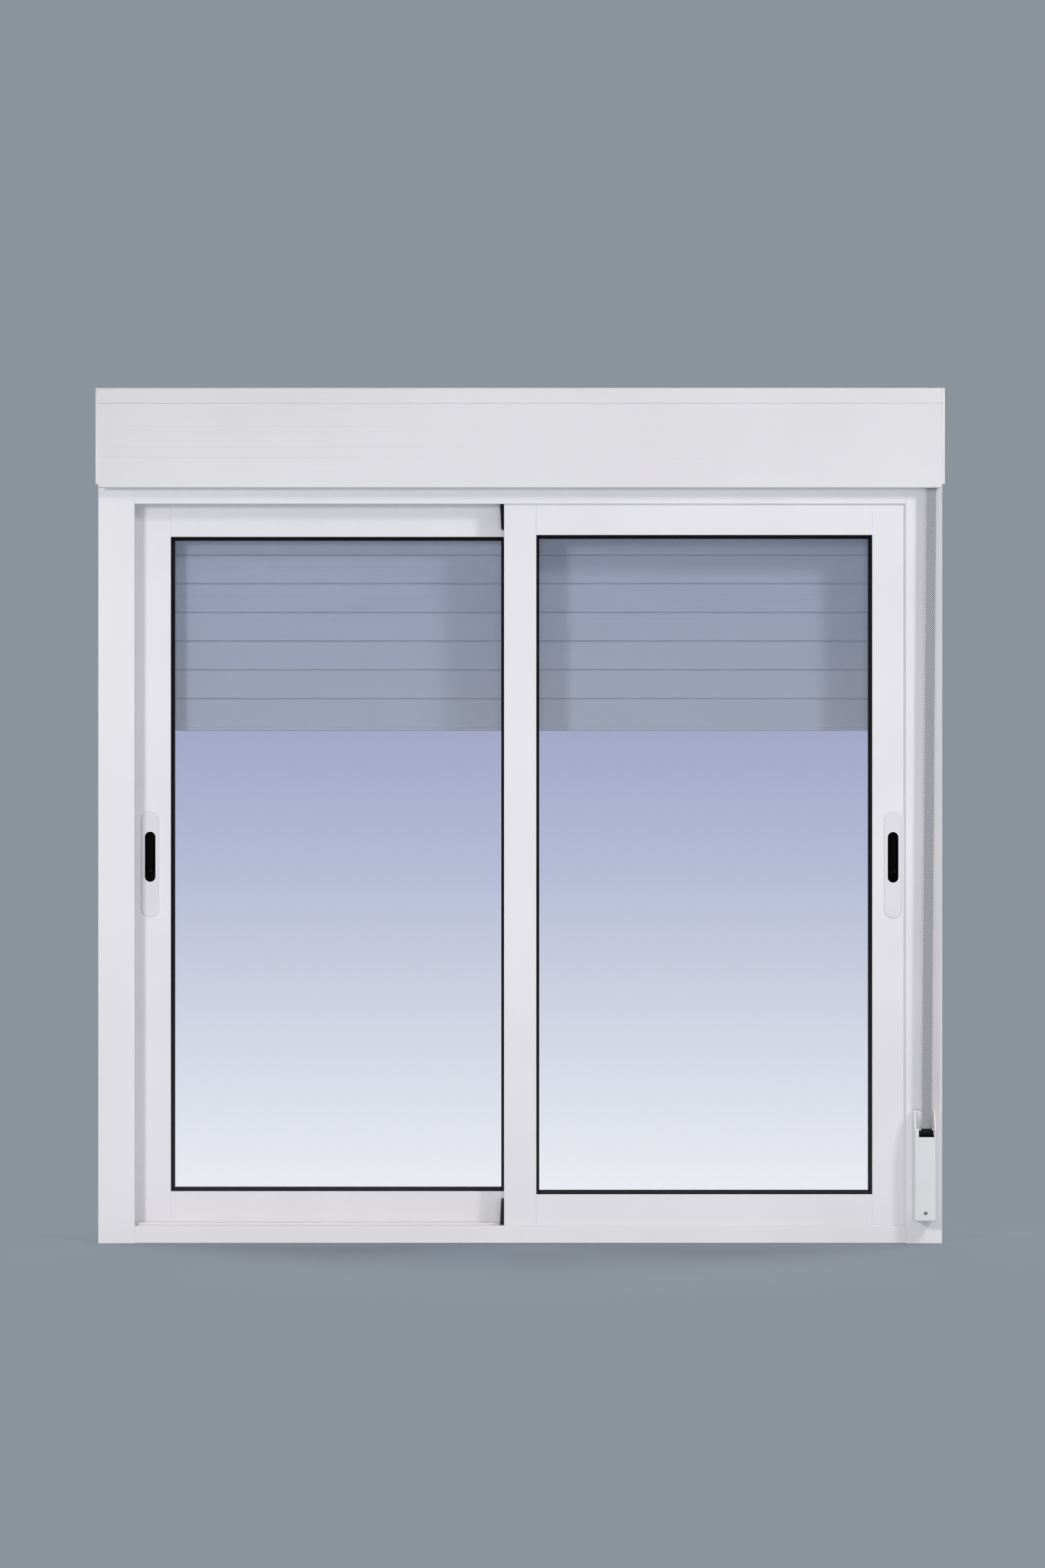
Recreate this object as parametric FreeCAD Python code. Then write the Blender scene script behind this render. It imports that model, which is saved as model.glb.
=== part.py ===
import FreeCAD, Part
import math
import os

from FreeCAD import Vector

os.makedirs("parts", exist_ok=True)

# Horizontal sliding window of two sashes with a roller shutter in a box on top.
# Millimetres. X runs right seen from the room, -Y faces the room, Z is up.
# The origin is the middle of the sill's underside.

# Driving dimensions of the fixed frame
FRAME_WIDTH = 1200.0
FRAME_HEIGHT = 1076.0
TRACK_PITCH = 34.0
JAMB_BASE = 38.0
SILL_BASE = 11.0
LEG = 14.0
LEG_WALL = 2.4
LEG_EDGE = 0.6
FRAME_WALL = 2.0
FRAME_EDGE = 0.8
FIN = 9.0
FIN_WALL = 2.0
RAIL_BEAD = 4.0
DRAIN_WIDTH = 28.0
DRAIN_HEIGHT = 5.0
DRAIN_INSET = 219.0

# Driving dimensions of the sashes
SASH_CLEAR = 2.3
SASH_LAP = 10.0
SASH_WALL = 1.8
SASH_EDGE_ROUND = 0.8
STILE = 57.0
STILE_CHANNEL = 14.0
MEETING_STILE = 46.0
SASH_RAIL = 54.0
RAIL_CHANNEL = 24.0
TENON_CLEAR = 0.2
POCKET = 16.0
GLASS_EDGE_GAP = 4.0
PANE = 4.0
CAVITY = 8.0
SPACER_BAR = 8.0
SEALANT = 3.0
GASKET_LIP = 4.2
GASKET_ROOT = 8.0
GASKET_NOSE = 0.9
CORNER_CLEAR = 0.05
HOOK_WALL = 1.5
HOOK_LENGTH = 12.0
HOOK_INSET = 8.0
HOOK_OVERLAP = 2.1

# Driving dimensions of the wheels under the sashes
WHEEL_RADIUS = 6.5
WHEEL_RIM = 1.6
WHEEL_WIDTH = 6.4
WHEEL_INSET = 70.0
WHEEL_CLEAR = 0.05
AXLE_RADIUS = 2.0
AXLE_SEAT = 0.5
CARRIAGE_LENGTH = 44.0
CARRIAGE_DROP = 4.0
CARRIAGE_FIT = 0.3
WELL_LENGTH = 20.0
WELL_WIDTH = 8.0
WELL_ROOF = 1.5
TURN_CLEAR = 0.15

# Driving dimensions of the flush handles
PLATE_WIDTH = 25.0
PLATE_HEIGHT = 152.0
PLATE_THICK = 1.6
PLATE_BEVEL = 0.64
SLOT_WIDTH = 15.2
SLOT_HEIGHT = 72.0
SLOT_RISE = 10.5
SLIDE_TRAVEL = 10.5
SLIDE_FIT = 0.3
SLIDE_PROUD = 0.3
DISH_RIM = 1.8
DISH_DEPTH = 3.5
COLLAR = 1.3
COLLAR_FIT = 0.1
CASE_HEIGHT = 100.0
CASE_DEPTH = 11.0
CASE_FLOOR = 2.0
CASE_FIT = 1.2

# Driving dimensions of the draught blocks
BLOCK_FOOT = 5.6
BLOCK_TIP = 4.0
BLOCK_HEIGHT = 34.0
BLOCK_SETBACK = 1.0
BLOCK_REACH = 4.9
BLOCK_CLEAR = 0.4

# Driving dimensions of the shutter box and what turns in it
BOX_HEIGHT = 137.0
BOX_REVEAL = 27.0
BOX_OVERHANG = 2.0
BOX_WALL = 3.0
BOX_ROUND = 3.0
TOP_STRIP = 22.0
BACKING_SETBACK = 2.0
BACKING_DROP = 6.0
LID_DROP = 4.5
LID_GAP = 0.6
LID_ROUND = 1.2
MOUTH_CLEAR = 4.0
MOUTH_LIP = 8.0
OUTLET_SIDE = 2.5
OUTLET_FRONT = 3.0
OUTLET_BACK = 5.0
CAP = 4.0
BEARING_WALL = 2.0
BOSS_RADIUS = 14.0
BOSS_LENGTH = 12.0
BOSS_GAP = 0.4
PIN_RADIUS = 6.0
PIN_END_GAP = 0.5
TUBE_FLATS = 40.0
TUBE_WALL = 1.2
TUBE_PLUG = 10.0
TUBE_FIT = 0.15
ROLL_RADIUS = 48.5
ROLL_GAP = 0.4
PULLEY_GAP = 0.3
FLANGE = 1.5
FLANGE_RISE = 3.5

# Driving dimensions of the curtain and its guides
GUIDE_DEPTH = 48.0
GUIDE_SLOT = 12.0
GUIDE_END_GAP = 4.0
CURTAIN_SETBACK = 25.0
SLAT_PITCH = 41.7
SLAT_THICK = 8.5
SLAT_LAP = 22.0
SLAT_GAP = 0.6
SLAT_BEVEL = 1.6
SLAT_BULGE = 1.5
SLAT_CROWN = 220.0
TONGUE = 2.8
TONGUE_LENGTH = 5.0
GROOVE = 4.0
GROOVE_DEPTH = 6.0
BOTTOM_BAR = 46.2
FOOT_HEIGHT = 5.0
FOOT_PROUD = 0.4
FOOT_ROUND = 1.2
CURTAIN_BOTTOM = 730.0

# Driving dimensions of the strap and its winder
STRAP_WIDTH = 16.0
STRAP_THICK = 1.4
STRAP_STANDOFF = 17.0
STRAP_INSET = 17.5
STRAP_LEAN = 7.3
STRAP_ROOM = 0.6
STRAP_GAP = 0.2
WINDER_WIDTH = 30.0
WINDER_DEPTH = 34.0
WINDER_SHIFT = 2.0
WINDER_BOTTOM = 36.0
WINDER_HEIGHT = 156.0
WINDER_WALL = 2.2
WINDER_SLOT = 12.0
WINDER_SLOT_DROP = 37.4
TRAY_ROUND = 4.0
SHOULDER = 20.0
SHOULDER_ROUND = 3.0
CHEEK_ROUND = 5.0
COVER_ROUND = 2.4
COVER_EDGE = 1.7
NOTCH_SIDE = 1.8
NOTCH_SHIFT = 1.4
ROLLER_RADIUS = 6.0
ROLLER_DROP = 1.0
ROLLER_SEAT = 3.5
ROLLER_SEAT_LENGTH = 1.5
ROLLER_END_GAP = 0.1

# Sizes that follow from the driving dimensions
half = FRAME_WIDTH / 2
frame_depth = 2 * TRACK_PITCH + LEG_WALL
front = -frame_depth / 2
back = frame_depth / 2
web = half - JAMB_BASE
jamb_width = JAMB_BASE + LEG
sill_height = SILL_BASE + LEG
head_lip = FRAME_HEIGHT - sill_height
opening_half = half - jamb_width
sash_thick = TRACK_PITCH - LEG_WALL - 2 * SASH_CLEAR
sash_gap = TRACK_PITCH - sash_thick
sash_edge = opening_half + SASH_LAP
sash_bottom = sill_height - SASH_LAP
sash_top = head_lip + SASH_LAP
light_left = MEETING_STILE / 2
light_right = sash_edge - STILE
light_bottom = sash_bottom + SASH_RAIL
light_top = sash_top - SASH_RAIL
bite = POCKET - GLASS_EDGE_GAP
wall_in = sash_thick / 2 - SASH_WALL
unit_half = PANE + CAVITY / 2
track_y = -TRACK_PITCH / 2
bead_z = SILL_BASE + FIN
guide_back = back + GUIDE_DEPTH
curtain_y = back + CURTAIN_SETBACK
box_front = front - BOX_REVEAL
box_back = guide_back + BOX_OVERHANG
box_bottom = FRAME_HEIGHT
box_top = FRAME_HEIGHT + BOX_HEIGHT
seam = box_top - TOP_STRIP
cap_inner = half - CAP
slat_half = opening_half + SLAT_LAP
roll_y = curtain_y - SLAT_THICK / 2 - ROLL_GAP - ROLL_RADIUS
roll_z = FRAME_HEIGHT + BOX_HEIGHT / 2
strap_y = front - STRAP_STANDOFF
strap_top_x = half - STRAP_INSET
strap_low_x = strap_top_x - STRAP_LEAN
winder_x = half - jamb_width / 2 - WINDER_SHIFT
winder_front = front - WINDER_DEPTH
winder_top = WINDER_BOTTOM + WINDER_HEIGHT

# How far a cutting tool runs past the face that it cuts
PAST = 1.0

pieces = {}


def outline(corners, lift):
    """Closed wire through corners (a, b) or (a, b, radius), each put in space by lift.

    A radius rounds the corner, and a negative one bevels it by that much on both sides.
    """
    flat = [Vector(c[0], c[1], 0) for c in corners]
    radii = [c[2] if len(c) > 2 else 0.0 for c in corners]
    place = lambda p: lift(p.x, p.y)
    ends = []
    edges = []
    for i, point in enumerate(flat):
        to_last = flat[i - 1].sub(point)
        to_next = flat[(i + 1) % len(flat)].sub(point)
        radius = radii[i]
        if radius == 0:
            ends.append((point, None, point))
            continue
        bend = to_last.getAngle(to_next)
        run = -radius if radius < 0 else radius / math.tan(bend / 2)
        run = min(run, 0.499 * to_last.Length, 0.499 * to_next.Length)
        to_last.normalize()
        to_next.normalize()
        inward = to_last.add(to_next)
        inward.normalize()
        depth = run * math.tan(bend / 2) * (1 / math.sin(bend / 2) - 1)
        middle = point.add(inward * depth) if radius > 0 else None
        ends.append((point.add(to_last * run), middle, point.add(to_next * run)))
    for i, (start, middle, end) in enumerate(ends):
        after = ends[(i + 1) % len(ends)][0]
        if middle is not None:
            edges.append(Part.Arc(place(start), place(middle), place(end)).toShape())
        elif start.distanceToPoint(end) > 1e-6:
            edges.append(Part.makeLine(place(start), place(end)))
        if end.distanceToPoint(after) > 1e-6:
            edges.append(Part.makeLine(place(end), place(after)))
    return Part.Wire(edges)


def along_x(corners, x0, x1):
    """Prism along X from a section drawn in (y, z)."""
    wire = outline(corners, lambda y, z: Vector(x0, y, z))
    return Part.Face(wire).extrude(Vector(x1 - x0, 0, 0))


def along_y(corners, y0, y1):
    """Prism along Y from a section drawn in (x, z)."""
    wire = outline(corners, lambda x, z: Vector(x, y0, z))
    return Part.Face(wire).extrude(Vector(0, y1 - y0, 0))


def along_z(corners, z0, z1):
    """Prism along Z from a section drawn in (x, y)."""
    wire = outline(corners, lambda x, y: Vector(x, y, z0))
    return Part.Face(wire).extrude(Vector(0, 0, z1 - z0))


def rect(a0, a1, b0, b1, radius=0.0):
    """Corners of a rectangle."""
    return [(a0, b0, radius), (a1, b0, radius), (a1, b1, radius), (a0, b1, radius)]


def block(x0, x1, y0, y1, z0, z1):
    """Axis-aligned box between two corners given in any order."""
    low = Vector(min(x0, x1), min(y0, y1), min(z0, z1))
    return Part.makeBox(abs(x1 - x0), abs(y1 - y0), abs(z1 - z0), low)


def stadium(x, z, width, height, y0, y1):
    """Slot-shaped prism through Y, round at its top and bottom."""
    r = width / 2
    return along_y(rect(x - r, x + r, z - height / 2, z + height / 2, r), y0, y1)


def rod_x(y, z, radius, x0, x1):
    """Round bar along X."""
    return Part.makeCylinder(radius, abs(x1 - x0), Vector(min(x0, x1), y, z), Vector(1, 0, 0))


def moved(corners, place):
    """Corners with place applied to the two coordinates of each."""
    return [place(c[0], c[1]) + tuple(c[2:]) for c in corners]


def turned(shape):
    """The same shape half a turn about Z, which makes the left sash of the right one."""
    copy = shape.copy()
    copy.rotate(Vector(0, 0, 0), Vector(0, 0, 1), 180)
    return copy


def mirrored(shape):
    """The same shape on the other side of the window's middle."""
    return shape.mirror(Vector(0, 0, 0), Vector(1, 0, 0))


def together(solids):
    """Several loose solids as one piece."""
    return Part.makeCompound(solids)


# Fixed frame. One section serves all four sides: a hollow base with three legs
# that make two tracks, and a fin in each track for the sash to straddle.
def frame_corners(base, fin):
    corners = [(0.0, front, -FRAME_EDGE)]
    for i in range(3):
        leg = (i - 1) * TRACK_PITCH
        if i > 0:
            corners.append((base, leg - LEG_WALL / 2))
        corners.append((base + LEG, leg - LEG_WALL / 2, -LEG_EDGE))
        corners.append((base + LEG, leg + LEG_WALL / 2, -LEG_EDGE))
        if i < 2:
            corners.append((base, leg + LEG_WALL / 2))
        if i < 2 and fin > 0:
            track = leg + TRACK_PITCH / 2
            corners.append((base, track - FIN_WALL / 2))
            corners.append((base + fin, track - FIN_WALL / 2))
            corners.append((base + fin, track + FIN_WALL / 2))
            corners.append((base, track + FIN_WALL / 2))
    corners.append((0.0, back, -FRAME_EDGE))
    return corners


def chambers(base):
    """The two hollows in a frame base, as corner lists."""
    t = FRAME_WALL
    return [rect(t, base - t, front + t, -t / 2), rect(t, base - t, t / 2, back - t)]


left_place = lambda u, v: (u - half, v)
left_jamb = along_z(moved(frame_corners(JAMB_BASE, FIN), left_place), 0.0, FRAME_HEIGHT)
for hollow in chambers(JAMB_BASE):
    left_jamb = left_jamb.cut(along_z(moved(hollow, left_place), -PAST, FRAME_HEIGHT + PAST))
pieces["left_jamb"] = left_jamb
pieces["right_jamb"] = mirrored(left_jamb)


def cope(bar, side):
    """Notch one end of the head or sill round the jamb's legs and fins."""
    whole = (-PAST, FRAME_HEIGHT + PAST)
    for i in (-1, 0, 1):
        leg = (i * TRACK_PITCH - LEG_WALL / 2, i * TRACK_PITCH + LEG_WALL / 2)
        bar = bar.cut(block(side * opening_half, side * (web + PAST), *leg, *whole))
    for i in (-0.5, 0.5):
        fin = (i * TRACK_PITCH - FIN_WALL / 2, i * TRACK_PITCH + FIN_WALL / 2)
        bar = bar.cut(block(side * (web - FIN), side * (web + PAST), *fin, *whole))
    return bar


sill_place = lambda u, v: (v, u)
head_place = lambda u, v: (v, FRAME_HEIGHT - u)
for name, place in (("frame_sill", sill_place), ("frame_head", head_place)):
    bar = along_x(moved(frame_corners(SILL_BASE, 0.0), place), -web, web)
    for hollow in chambers(SILL_BASE):
        bar = bar.cut(along_x(moved(hollow, place), -web - PAST, web + PAST))
    for side in (-1, 1):
        track = side * TRACK_PITCH / 2
        root = SILL_BASE - FRAME_WALL / 2
        fin = rect(root, SILL_BASE + FIN, track - FIN_WALL / 2, track + FIN_WALL / 2)
        bar = bar.fuse(along_x(moved(fin, place), -opening_half, opening_half))
        if name == "frame_sill":
            bar = bar.fuse(rod_x(track, bead_z, RAIL_BEAD / 2, -opening_half, opening_half))
        bar = cope(bar, side)
    if name == "frame_sill":
        rear_leg = (back - LEG_WALL - PAST, back + PAST)
        drain_z = (SILL_BASE, SILL_BASE + DRAIN_HEIGHT)
        for x in (DRAIN_INSET - opening_half, opening_half - DRAIN_INSET):
            bar = bar.cut(block(x - DRAIN_WIDTH / 2, x + DRAIN_WIDTH / 2, *rear_leg, *drain_z))
    pieces[name] = bar.removeSplitter()

# Shutter guides behind the jambs: three chambers round a slot that faces the curtain
slot_floor = jamb_width - SLAT_LAP - GUIDE_END_GAP
slot_low = curtain_y - GUIDE_SLOT / 2
slot_high = curtain_y + GUIDE_SLOT / 2
t = FRAME_WALL
guide_corners = [
    (0.0, back, -FRAME_EDGE),
    (jamb_width, back, -FRAME_EDGE),
    (jamb_width, slot_low, -FRAME_EDGE),
    (slot_floor, slot_low),
    (slot_floor, slot_high),
    (jamb_width, slot_high, -FRAME_EDGE),
    (jamb_width, guide_back, FRAME_EDGE),
    (0.0, guide_back, FRAME_EDGE),
]
guide_hollows = [
    rect(t, slot_floor - t, back + t, guide_back - t),
    rect(slot_floor, jamb_width - t, back + t, slot_low - t),
    rect(slot_floor, jamb_width - t, slot_high + t, guide_back - t),
]
guide = along_z(moved(guide_corners, left_place), 0.0, FRAME_HEIGHT)
for hollow in guide_hollows:
    guide = guide.cut(along_z(moved(hollow, left_place), -PAST, FRAME_HEIGHT + PAST))
pieces["left_shutter_guide"] = guide
pieces["right_shutter_guide"] = mirrored(guide)


# Sashes. The right one is drawn in the front track, v across its thickness with
# the other sash on the +v side. The left one is the same turned half round.
def sash_corners(width, channel):
    """H section from the outer edge at w = 0 to the glass edge at w = width."""
    s = sash_thick / 2
    floor = width - POCKET
    corners = [
        (0.0, -s, SASH_EDGE_ROUND),
        (width, -s, SASH_EDGE_ROUND),
        (width, -wall_in),
        (floor, -wall_in),
        (floor, wall_in),
        (width, wall_in),
        (width, s, SASH_EDGE_ROUND),
        (0.0, s, SASH_EDGE_ROUND),
    ]
    if channel > 0:
        corners += [(0.0, wall_in), (channel, wall_in), (channel, -wall_in), (0.0, -wall_in)]
    return corners


def sash_hollow(width, channel):
    """The closed chamber of a sash section."""
    return rect(channel + SASH_WALL, width - POCKET - SASH_WALL, -wall_in, wall_in)


lock_place = lambda w, v: (sash_edge - w, track_y + v)
meet_place = lambda w, v: (w - MEETING_STILE / 2, track_y + v)
low_place = lambda w, v: (track_y + v, sash_bottom + w)
top_place = lambda w, v: (track_y + v, sash_top - w)

lock_stile = along_z(moved(sash_corners(STILE, STILE_CHANNEL), lock_place), sash_bottom, sash_top)
hollow = moved(sash_hollow(STILE, STILE_CHANNEL), lock_place)
lock_stile = lock_stile.cut(along_z(hollow, sash_bottom - PAST, sash_top + PAST))

meeting_stile = along_z(moved(sash_corners(MEETING_STILE, 0.0), meet_place), sash_bottom, sash_top)
hollow = moved(sash_hollow(MEETING_STILE, 0.0), meet_place)
meeting_stile = meeting_stile.cut(along_z(hollow, sash_bottom - PAST, sash_top + PAST))
face = sash_thick / 2
hook_root = face - SASH_WALL / 2
hook_tip = face + sash_gap / 2 + HOOK_OVERLAP
hook_low = MEETING_STILE / 2 - HOOK_INSET
hook = [
    (hook_low, hook_root),
    (hook_low, hook_tip),
    (hook_low + HOOK_LENGTH, hook_tip),
    (hook_low + HOOK_LENGTH, hook_tip - HOOK_WALL),
    (hook_low + HOOK_WALL, hook_tip - HOOK_WALL),
    (hook_low + HOOK_WALL, hook_root),
]
meeting_stile = meeting_stile.fuse(along_z(moved(hook, meet_place), sash_bottom, sash_top))
meeting_stile = meeting_stile.removeSplitter()


def sash_rail(place):
    """A rail between the stiles, its chamber carried on as a tenon into their pockets."""
    bar = along_x(moved(sash_corners(SASH_RAIL, RAIL_CHANNEL), place), light_left, light_right)
    slim = wall_in - TENON_CLEAR
    tenon = rect(RAIL_CHANNEL, SASH_RAIL - POCKET, -slim, slim)
    bar = bar.fuse(along_x(moved(tenon, place), light_left - POCKET, light_right + POCKET))
    low = RAIL_CHANNEL + SASH_WALL
    high = SASH_RAIL - POCKET - SASH_WALL
    inner = rect(low, high, SASH_WALL - slim, slim - SASH_WALL)
    reach = (light_left - POCKET - PAST, light_right + POCKET + PAST)
    return bar.cut(along_x(moved(inner, place), *reach)).removeSplitter()


bottom_rail = sash_rail(low_place)
top_rail = sash_rail(top_place)

pane_x = (light_left - bite, light_right + bite)
pane_z = (light_bottom - bite, light_top + bite)
panes = []
for v0 in (-unit_half, CAVITY / 2):
    panes.append(block(*pane_x, track_y + v0, track_y + v0 + PANE, *pane_z))
panes = together(panes)

spacer = []
air = (track_y - CAVITY / 2, track_y + CAVITY / 2)
ring_x = (pane_x[0] + SEALANT, pane_x[1] - SEALANT)
ring_z = (pane_z[0] + SEALANT, pane_z[1] - SEALANT)
for x in (ring_x[0], ring_x[1] - SPACER_BAR):
    spacer.append(block(x, x + SPACER_BAR, *air, *ring_z))
across = (ring_x[0] + SPACER_BAR + CORNER_CLEAR, ring_x[1] - SPACER_BAR - CORNER_CLEAR)
for z in (ring_z[0], ring_z[1] - SPACER_BAR):
    spacer.append(block(*across, *air, z, z + SPACER_BAR))
spacer = together(spacer)


def gasket_corners(side):
    """Wedge gasket between a sash wall and the glass, its lip lying on the glass."""
    wall = side * wall_in
    nose = side * (wall_in + GASKET_NOSE)
    glass = side * unit_half
    return [
        (-GASKET_ROOT, wall),
        (0.0, wall),
        (0.15 * GASKET_LIP, nose),
        (0.55 * GASKET_LIP, nose),
        (GASKET_LIP, glass),
        (-GASKET_ROOT, glass),
    ]


gasket = []
for side in (-1, 1):
    corners = gasket_corners(side)
    low = lambda q, v: (light_left + q, track_y + v)
    high = lambda q, v: (light_right - q, track_y + v)
    for place in (low, high):
        gasket.append(along_z(moved(corners, place), light_bottom, light_top))
    low = lambda q, v: (track_y + v, light_bottom + q)
    high = lambda q, v: (track_y + v, light_top - q)
    inset = GASKET_LIP + CORNER_CLEAR
    for place in (low, high):
        gasket.append(along_x(moved(corners, place), light_left + inset, light_right - inset))
gasket = together(gasket)

# Wheels with a V groove that straddles the sill's rail, in carriages under the bottom rail
slope = 2 * WHEEL_RIM / WHEEL_WIDTH
wheel_z = bead_z + (RAIL_BEAD / 2 + WHEEL_CLEAR) * math.hypot(1.0, slope) + WHEEL_RADIUS
carriage_top = sash_bottom + RAIL_CHANNEL
carriage_bottom = wheel_z - CARRIAGE_DROP
carriage_half = wall_in - CARRIAGE_FIT
well_z = (carriage_bottom - PAST, carriage_top - WELL_ROOF)
axle_half = WELL_WIDTH / 2 + AXLE_SEAT
bore = AXLE_RADIUS + TURN_CLEAR
wheel_half = WHEEL_WIDTH / 2
rollers = []
for x in (light_left + WHEEL_INSET, light_right - WHEEL_INSET):
    long = (x - CARRIAGE_LENGTH / 2, x + CARRIAGE_LENGTH / 2)
    sides = (track_y - carriage_half, track_y + carriage_half)
    carriage = block(*long, *sides, carriage_bottom, carriage_top)
    well = (x - WELL_LENGTH / 2, x + WELL_LENGTH / 2, track_y - WELL_WIDTH / 2, track_y + WELL_WIDTH / 2)
    carriage = carriage.cut(block(*well, *well_z))
    start = Vector(x, track_y - axle_half, wheel_z)
    axle = Part.makeCylinder(AXLE_RADIUS, 2 * axle_half, start, Vector(0, 1, 0))
    rollers.append(carriage.fuse(axle).removeSplitter())
    groove = [
        (bore, -wheel_half),
        (WHEEL_RADIUS + WHEEL_RIM, -wheel_half),
        (WHEEL_RADIUS, 0.0),
        (WHEEL_RADIUS + WHEEL_RIM, wheel_half),
        (bore, wheel_half),
    ]
    section = Part.Face(outline(groove, lambda r, a: Vector(x + r, track_y + a, wheel_z)))
    rollers.append(section.revolve(Vector(x, track_y, wheel_z), Vector(0, 1, 0), 360))
rollers = together(rollers)

for name, shape in (
    ("meeting_stile", meeting_stile),
    ("top_rail", top_rail),
    ("bottom_rail", bottom_rail),
    ("glass_panes", panes),
    ("glass_spacer", spacer),
    ("glazing_gasket", gasket),
    ("rollers", rollers),
):
    pieces["right_" + name] = shape
    pieces["left_" + name] = turned(shape)

# Flush handles: a plate on the stile, a lock case in its chamber, a thumb slide
handle_x = sash_edge - (STILE_CHANNEL + STILE - POCKET) / 2
handle_z = (sash_bottom + sash_top) / 2
slot_z = handle_z + SLOT_RISE
case_half = (STILE - POCKET - STILE_CHANNEL) / 2 - SASH_WALL - CASE_FIT
collar_size = (SLOT_WIDTH + 2 * COLLAR, SLOT_HEIGHT + 2 * COLLAR)
case_z = (slot_z - CASE_HEIGHT / 2, slot_z + CASE_HEIGHT / 2)
slide_size = (SLOT_WIDTH - 2 * SLIDE_FIT, SLOT_HEIGHT - SLIDE_TRAVEL)
slide_z = slot_z + SLIDE_TRAVEL / 2 - SLIDE_FIT
dish_reach = (slide_size[1] - SLOT_WIDTH) / 2
dish_radius = SLOT_WIDTH / 2 - DISH_RIM
for name, sign in (("right", 1), ("left", -1)):
    stile = lock_stile if sign > 0 else turned(lock_stile)
    skin = -sign * TRACK_PITCH / 2 - sash_thick / 2
    inside = skin + SASH_WALL
    floor_y = inside + CASE_DEPTH - CASE_FLOOR
    x = sign * handle_x
    pieces[name + "_lock_stile"] = stile.cut(stadium(x, slot_z, *collar_size, skin - PAST, inside + PAST))
    plate = stadium(x, handle_z, PLATE_WIDTH, PLATE_HEIGHT, skin - PLATE_THICK, skin)
    rim = [e for e in plate.Edges if abs(e.CenterOfMass.y - (skin - PLATE_THICK)) < 0.01]
    plate = plate.makeChamfer(PLATE_BEVEL, rim)
    slot = stadium(x, slot_z, SLOT_WIDTH, SLOT_HEIGHT, skin - PLATE_THICK - PAST, floor_y)
    pieces[name + "_handle_plate"] = plate.cut(slot)
    case = block(x - case_half, x + case_half, inside, inside + CASE_DEPTH, *case_z)
    neck = [side - 2 * COLLAR_FIT for side in collar_size]
    case = case.fuse(stadium(x, slot_z, *neck, skin, inside + SASH_WALL))
    pieces[name + "_lock_case"] = case.cut(slot).removeSplitter()
    slide = stadium(x, slide_z, *slide_size, skin - SLIDE_PROUD, floor_y)
    dish_y = skin - SLIDE_PROUD + DISH_DEPTH - dish_radius
    start = Vector(x, dish_y, slide_z - dish_reach)
    dish = Part.makeCylinder(dish_radius, 2 * dish_reach, start, Vector(0, 0, 1))
    pieces[name + "_latch_slide"] = slide.cut(dish)

# Draught blocks on the free edge of the front meeting stile, thicker at the frame
block_y = (track_y - face + BLOCK_SETBACK, track_y + face + BLOCK_REACH)
stile_x = -MEETING_STILE / 2
ends = (("bottom", sill_height + BLOCK_CLEAR, 1), ("top", head_lip - BLOCK_CLEAR, -1))
for name, z0, step in ends:
    tip_z = z0 + step * BLOCK_HEIGHT
    wedge = [(stile_x, z0), (stile_x - BLOCK_FOOT, z0), (stile_x - BLOCK_TIP, tip_z), (stile_x, tip_z)]
    pieces[name + "_draught_block"] = along_y(wedge, *block_y)

# Shutter box: four extrusions between two end caps
backing = box_front + BOX_WALL + BACKING_SETBACK
backing_low = seam - BACKING_DROP
top_corners = [
    (box_front, seam),
    (box_front, box_top, BOX_ROUND),
    (box_back, box_top, BOX_ROUND),
    (box_back, box_top - BOX_WALL),
    (backing, box_top - BOX_WALL),
    (backing, backing_low),
    (box_front + BOX_WALL, backing_low),
    (box_front + BOX_WALL, seam),
]
pieces["box_top_profile"] = along_x(top_corners, -cap_inner, cap_inner)
lid_low = box_bottom - LID_DROP
lid_high = seam - LID_GAP
lid_corners = [
    (box_front, lid_low, LID_ROUND),
    (box_front, lid_high, -LID_GAP),
    (box_front + BOX_WALL, lid_high),
    (box_front + BOX_WALL, lid_low + BOX_WALL),
    (box_front + 2 * BOX_WALL, lid_low + BOX_WALL),
    (box_front + 2 * BOX_WALL, lid_low, -LID_GAP),
]
pieces["box_lid"] = along_x(lid_corners, -cap_inner, cap_inner)
mouth = SLAT_THICK / 2 + MOUTH_CLEAR
base_corners = [
    (box_front + BOX_WALL, box_bottom),
    (curtain_y - mouth, box_bottom),
    (curtain_y - mouth, box_bottom + MOUTH_LIP),
    (curtain_y - mouth - BOX_WALL, box_bottom + MOUTH_LIP),
    (curtain_y - mouth - BOX_WALL, box_bottom + BOX_WALL),
    (box_front + BOX_WALL, box_bottom + BOX_WALL),
]
base = along_x(base_corners, -cap_inner, cap_inner)
outlet_half = STRAP_WIDTH / 2 + OUTLET_SIDE
outlet_x = (strap_top_x - outlet_half, strap_top_x + outlet_half)
outlet_y = (strap_y - OUTLET_FRONT, strap_y + OUTLET_BACK)
outlet = block(*outlet_x, *outlet_y, box_bottom - PAST, box_bottom + BOX_WALL + PAST)
pieces["box_base_profile"] = base.cut(outlet)
back_corners = [
    (box_back, box_bottom, LID_ROUND),
    (box_back, box_top - BOX_WALL),
    (box_back - BOX_WALL, box_top - BOX_WALL),
    (box_back - BOX_WALL, box_bottom + BOX_WALL),
    (curtain_y + mouth, box_bottom + BOX_WALL),
    (curtain_y + mouth, box_bottom),
]
pieces["box_back_profile"] = along_x(back_corners, -cap_inner, cap_inner)

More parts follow.
